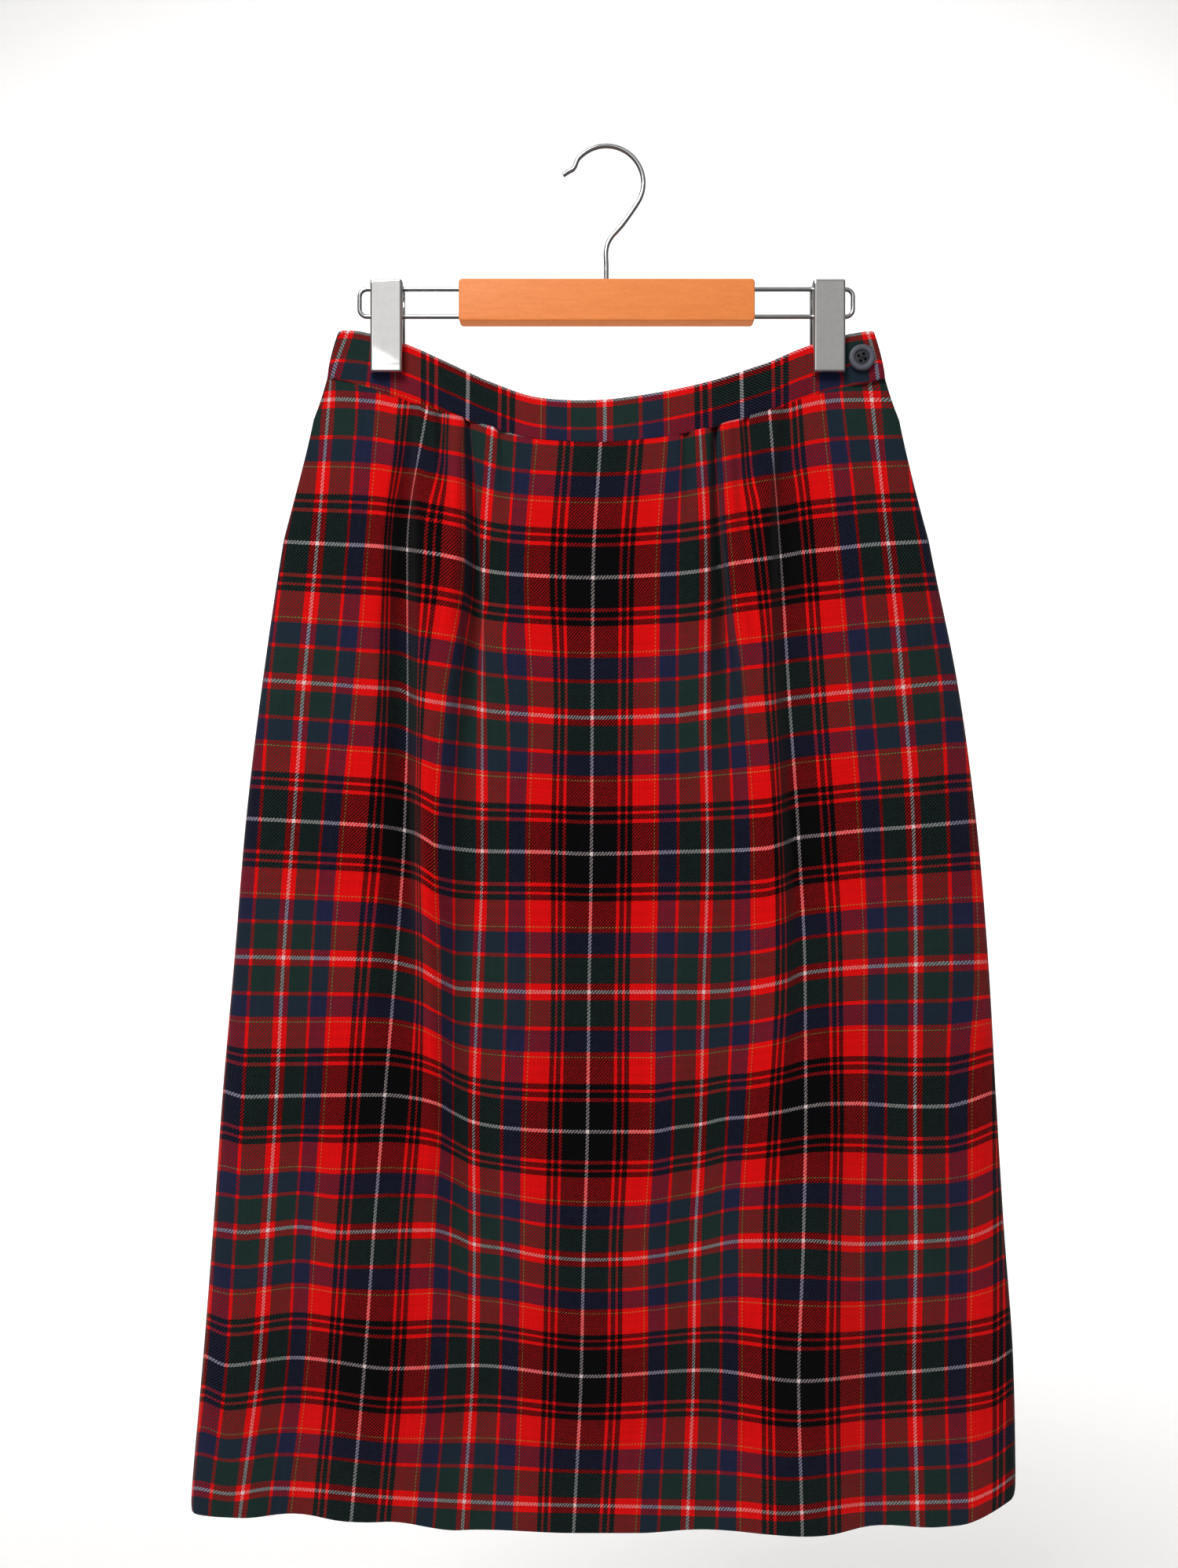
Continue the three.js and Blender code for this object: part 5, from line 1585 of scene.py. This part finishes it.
@dataclass
class SpringClip:
    """A sprung clip: two folded steel cheeks with jaws at the foot, and a coiled spring between."""

    name: str
    centre_x: float
    width: float = 19.6
    top: float = -84.4
    bottom: float = -141.2
    sheet: float = 1.2
    half_depth: float = 9.0
    wire_gap: float = 1.8
    cloth_gap: float = 3.0
    jaw_y: float = 2.7
    jaw_height: float = 4.5
    shoulder_z: float = -110.0
    spring_radius: float = 6.4
    spring_z: float = -96.1
    spring_wire: float = 1.1
    spring_turns: float = 9.0
    bend: float = 1.3
    play: float = 0.3

    def _section(self, z: float, front: float, floor: float, back: float,
                 shrink: float) -> list[tuple[float, ...]]:
        """The folded sheet cut across at a height.

        Args:
            z: The height.
            front: How far the plate's face stands from the middle plane.
            floor: How far the plate's inside stands from it.
            back: How far the flanges' free edges stand from it.
            shrink: How much narrower the plate is here.

        Returns:
            The closed outline's points.
        """
        half = self.width / 2 - shrink
        inner, bend = half - self.sheet, self.bend
        tight = min(bend - self.sheet * 0.5, max((floor - back) * 0.5, 0.02))
        outline = [(-half, back)]
        for a in np.radians((180, 157.5, 135, 112.5, 90)):
            outline.append((-half + bend + bend * math.cos(a), front - bend + bend * math.sin(a)))
        # Two points just inside the bends keep the plate's shading flat.
        outline += [(-half + 1.25 * bend, front), (half - 1.25 * bend, front)]
        for a in np.radians((90, 67.5, 45, 22.5, 0)):
            outline.append((half - bend + bend * math.cos(a), front - bend + bend * math.sin(a)))
        outline += [(half, back), (inner, back)]
        for a in np.radians((0, 45, 90)):
            outline.append((inner - tight + tight * math.cos(a), floor - tight + tight * math.sin(a)))
        for a in np.radians((90, 135, 180)):
            outline.append((-inner + tight + tight * math.cos(a), floor - tight + tight * math.sin(a)))
        outline.append((-inner, back))
        return [(self.centre_x + x, y, z) for x, y in outline]

    def cheek(self, which: Cheek, finish: bpy.types.Material) -> bpy.types.Object:
        """Folds one cheek from the top edge down to its jaw."""
        deep, inside = self.half_depth, self.half_depth - self.sheet
        jaw_top = self.bottom + self.jaw_height
        # Each stop's height, front face, inside, free edges and narrowing, as _section takes them.
        stops = (
            (self.top, deep - 0.35, inside - 0.2, 3.6, 0.35),
            (self.top - 0.3, deep - 0.1, inside, 3.3, 0.1),
            (self.top - 0.8, deep, inside, 2.8, 0.0),
            (self.top - 3.0, deep, inside, self.wire_gap, 0.0),
            (self.shoulder_z + 0.6, deep, inside, self.wire_gap, 0.0),
            (self.shoulder_z - 3.0, deep, inside, self.cloth_gap, 0.0),
            (jaw_top + 2.5, deep, inside, self.cloth_gap, 0.0),
            (jaw_top + 1.2, deep - 0.02, inside, self.cloth_gap, 0.0),
            (jaw_top, deep - 0.02, self.jaw_y + 0.5, self.jaw_y, 0.0),
            (self.bottom + 1.3, deep - 0.03, self.jaw_y + 0.4, self.jaw_y, 0.0),
            (self.bottom + 0.8, deep - 0.06, self.jaw_y + 0.4, self.jaw_y, 0.0),
            (self.bottom + 0.35, deep - 0.2, self.jaw_y + 0.4, self.jaw_y, 0.05),
            (self.bottom, deep - 0.7, self.jaw_y + 0.6, self.jaw_y + 0.2, 0.3),
        )
        rows = np.array([self._section(*stop) for stop in stops])
        rows[..., 1] *= which.value
        mesh = face_outwards(mesh_from_loops(self.name, rows))
        piece = new_piece(f"{self.name}_{which.name.lower()}_plate", mesh, finish)
        piece.data.set_sharp_from_angle(angle=math.radians(40))
        return piece

    def spring(self, tree: WireTree, finish: bpy.types.Material) -> bpy.types.Object:
        """Winds the spring between the cheeks."""
        length = self.width - 2 * self.sheet - 2 * self.play - self.spring_wire
        values = {
            "Wire Radius": self.spring_wire / 2 * MM, "Sides": 10, "Turns": self.spring_turns,
            "Coil Radius": (self.spring_radius - self.spring_wire / 2) * MM, "Length": length * MM,
            "Start": ((self.centre_x - length / 2) * MM, 0.0, self.spring_z * MM),
        }
        name = f"{self.name}_coil"
        return new_piece(name, tree.run(name, finish, values), finish)


# ---------------------------------------------------------------- the studio

@dataclass(frozen=True)
class SoftBox:
    """An area light, in metres and watts, rolled about its own axis by some degrees."""

    name: str
    place: tuple[float, float, float]
    aim: tuple[float, float, float]
    size: tuple[float, float]
    power: float
    roll: float = 0.0
    mirrored: bool = True

    def hang(self) -> None:
        """Adds the light, out of the camera's sight; polished pieces show it if mirrored is set."""
        data = bpy.data.lights.new(self.name, "AREA")
        data.shape = "RECTANGLE"
        data.size, data.size_y = self.size
        data.energy = self.power
        box = bpy.data.objects.new(self.name, data)
        bpy.context.scene.collection.objects.link(box)
        towards = (Vector(self.aim) - Vector(self.place)).to_track_quat("-Z", "Y").to_matrix().to_4x4()
        roll = Matrix.Rotation(math.radians(self.roll), 4, "Z")
        box.matrix_world = Matrix.Translation(self.place) @ towards @ roll
        box.visible_camera = False
        box.visible_glossy = self.mirrored


SOFT_BOXES = (
    SoftBox("key_light", (-0.8, -1.75, 1.32), (0, 0, -0.4), (1.0, 1.0), 42.0, roll=-12),
    SoftBox("backdrop_light", (0.0, 1.2, 1.4), (0, 3.4, -0.3), (4.6, 1.2), 98.0, mirrored=False),
    SoftBox("left_card", (-0.686, -2.5, 0.38), (-0.686, 0, 0.38), (1.0, 0.6), 1.2, roll=-39),
)


@dataclass
class Studio:
    """A pale sweep, soft light and the upright camera, in metres."""

    floor_z: float = -1.25
    wall_y: float = 3.4
    reach: float = 9.0
    sweep: float = 0.8
    above: float = 0.36
    below: float = 0.06
    sides_dimmed: float = 0.65
    patch_core: float = 0.13
    patch_reach: float = 0.22
    # Pale patches of the room before the skirt: where each lies, and how bright it is.
    patches: tuple[tuple[Colour, float], ...] = (((-0.17, -1.0, 0.33), 0.56), ((0.18, -1.0, 0.33), 0.14))

    def backdrop(self) -> None:
        """Builds the floor and the wall behind as one sweep."""
        profile = [(-self.reach, self.floor_z)]
        for a in np.linspace(0, math.pi / 2, 13):
            profile.append((self.wall_y - self.sweep + self.sweep * math.sin(a),
                            self.floor_z + self.sweep - self.sweep * math.cos(a)))
        profile.append((self.wall_y, self.reach))
        points = [(x, y, z) for y, z in profile for x in (-self.reach, self.reach)]
        faces = [(2 * n, 2 * n + 1, 2 * n + 3, 2 * n + 2) for n in range(len(profile) - 1)]
        mesh = bpy.data.meshes.new("studio_sweep")
        mesh.from_pydata(points, [], faces)
        mesh.update()
        sweep = new_piece("studio_sweep", mesh, StudioPaint().material())
        sweep.visible_glossy = False
        sweep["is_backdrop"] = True

    def sky(self) -> None:
        """Fills the room with soft light: brighter above, dim below and aside, pale patches in front."""
        sheet = NodeSheet("studio_sky", world=True)
        towards = sheet.wire(sheet.add("ShaderNodeTexCoord"), "Generated")
        parts = sheet.add("ShaderNodeSeparateXYZ", {}, {0: towards})
        aside, up = sheet.wire(parts, 0), sheet.wire(parts, 2)
        height = sheet.add("ShaderNodeMapRange", {}, {"Value": up, "From Min": -1.0, "From Max": 1.0,
                                                      "To Min": self.below, "To Max": self.above})
        strength = sheet.wire(height) * (1.0 - aside * aside * self.sides_dimmed)
        for centre, level in self.patches:
            far = sheet.wire(sheet.add("ShaderNodeVectorMath", {"operation": "DISTANCE"},
                                       {0: towards, 1: Vector(centre).normalized()}), "Value")
            patch = sheet.add("ShaderNodeMapRange", {"interpolation_type": "SMOOTHSTEP"},
                              {"Value": far, "From Min": self.patch_core, "From Max": self.patch_reach,
                               "To Min": level, "To Max": 0.0})
            strength = strength + sheet.wire(patch)
        sky = sheet.add("ShaderNodeBackground", {}, {"Color": (1.0, 0.985, 0.975, 1), "Strength": strength})
        sheet.add("ShaderNodeOutputWorld", {}, {"Surface": sheet.wire(sky)})
        bpy.context.scene.world = sheet.owner

    def camera(self) -> None:
        """Places the camera square on to the skirt."""
        data = bpy.data.cameras.new("front_view")
        data.sensor_fit = "VERTICAL"
        data.sensor_height = 36.0
        height = VIEW.height / VIEW.pixels_per_mm
        data.lens = data.sensor_height * VIEW.distance / height
        data.clip_start, data.clip_end = 0.01, 60
        camera = bpy.data.objects.new("front_view", data)
        x, z = VIEW.centre
        camera.matrix_world = (Matrix.Translation((x * MM, -VIEW.distance * MM, z * MM))
                               @ Matrix.Rotation(math.pi / 2, 4, "X"))
        bpy.context.scene.collection.objects.link(camera)
        bpy.context.scene.camera = camera

    def build(self) -> None:
        """Sets up the backdrop, the lights and the camera."""
        self.backdrop()
        self.sky()
        for box in SOFT_BOXES:
            box.hang()
        self.camera()
        view = bpy.context.scene.view_settings
        view.view_transform = "Standard"
        view.look = "None"
        view.exposure = 0.0


# ---------------------------------------------------------------- everything together

def build_skirt(line_tree: WireTree) -> None:
    """Makes the panels, the band and the button."""
    tartan = TartanTwill("tartan_twill").material()
    front = SkirtPanel("front_panel", FRONT_FOLDS, side=-1, rows=185, widest=2.6, finest=1.0).build(tartan)
    dress(front, "tartan_cloth", "skirt_front")
    back = SkirtPanel("back_panel", BACK_FOLDS, side=1, rows=150, widest=3.0, finest=2.0).build(tartan)
    dress(back, "tartan_cloth", "skirt_back")
    band = Waistband().build(TartanTwill("band_twill").material())
    dress(band, "band_cloth", "waistband")
    button = SideButton()
    dress(button.build(Resin(button.dish_middle).material()), "button_resin", "button")
    dress(button.thread(line_tree, SewingThread().material()), "button_resin")


def build_hanger(line_tree: WireTree, coil_tree: WireTree) -> None:
    """Makes the hook, the bar, the wire loops and the clips."""
    hanger = ClipHanger()
    bright = PlatedMetal("plated_wire", (0.74, 0.74, 0.75), 0.16).material()
    satin = PlatedMetal("clip_plate", (0.82, 0.82, 0.81), 0.035, streak=0.012, orange_peel=0.05).material()
    spring = PlatedMetal("spring_steel", (0.45, 0.45, 0.46), 0.32).material()
    dress(hanger.hook(line_tree, bright), "steel_wire", "hanger_hook")
    dress(hanger.bar(StainedWood().material()), "bar_wood", "hanger_bar")
    dress(hanger.loop(-1, "loop_left", line_tree, bright), "steel_wire", "wire_left")
    dress(hanger.loop(1, "loop_right", line_tree, bright), "steel_wire", "wire_right")
    for name, centre in (("clip_left", -135.6), ("clip_right", 137.3)):
        clip = SpringClip(name, centre)
        for which in Cheek:
            dress(clip.cheek(which, satin), "clip_metal", f"{name}_{which.name.lower()}")
        dress(clip.spring(coil_tree, spring), "spring_steel", f"{name}_spring")


def main() -> None:
    """Builds the hanger, the skirt and the studio, and measures the model's size."""
    logging.basicConfig(level=logging.INFO, format="%(name)s: %(message)s")
    line_tree = WireTree("wire_along_line", coil=False)
    coil_tree = WireTree("spring_coil", coil=True)
    build_hanger(line_tree, coil_tree)
    build_skirt(line_tree)
    Studio().build()
    boxes = {"cad": CAD_BOX, "visual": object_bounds()}
    plain = {name: [[float(v) for v in corner] for corner in box] for name, box in boxes.items()}


if __name__ == "__main__":
    main()
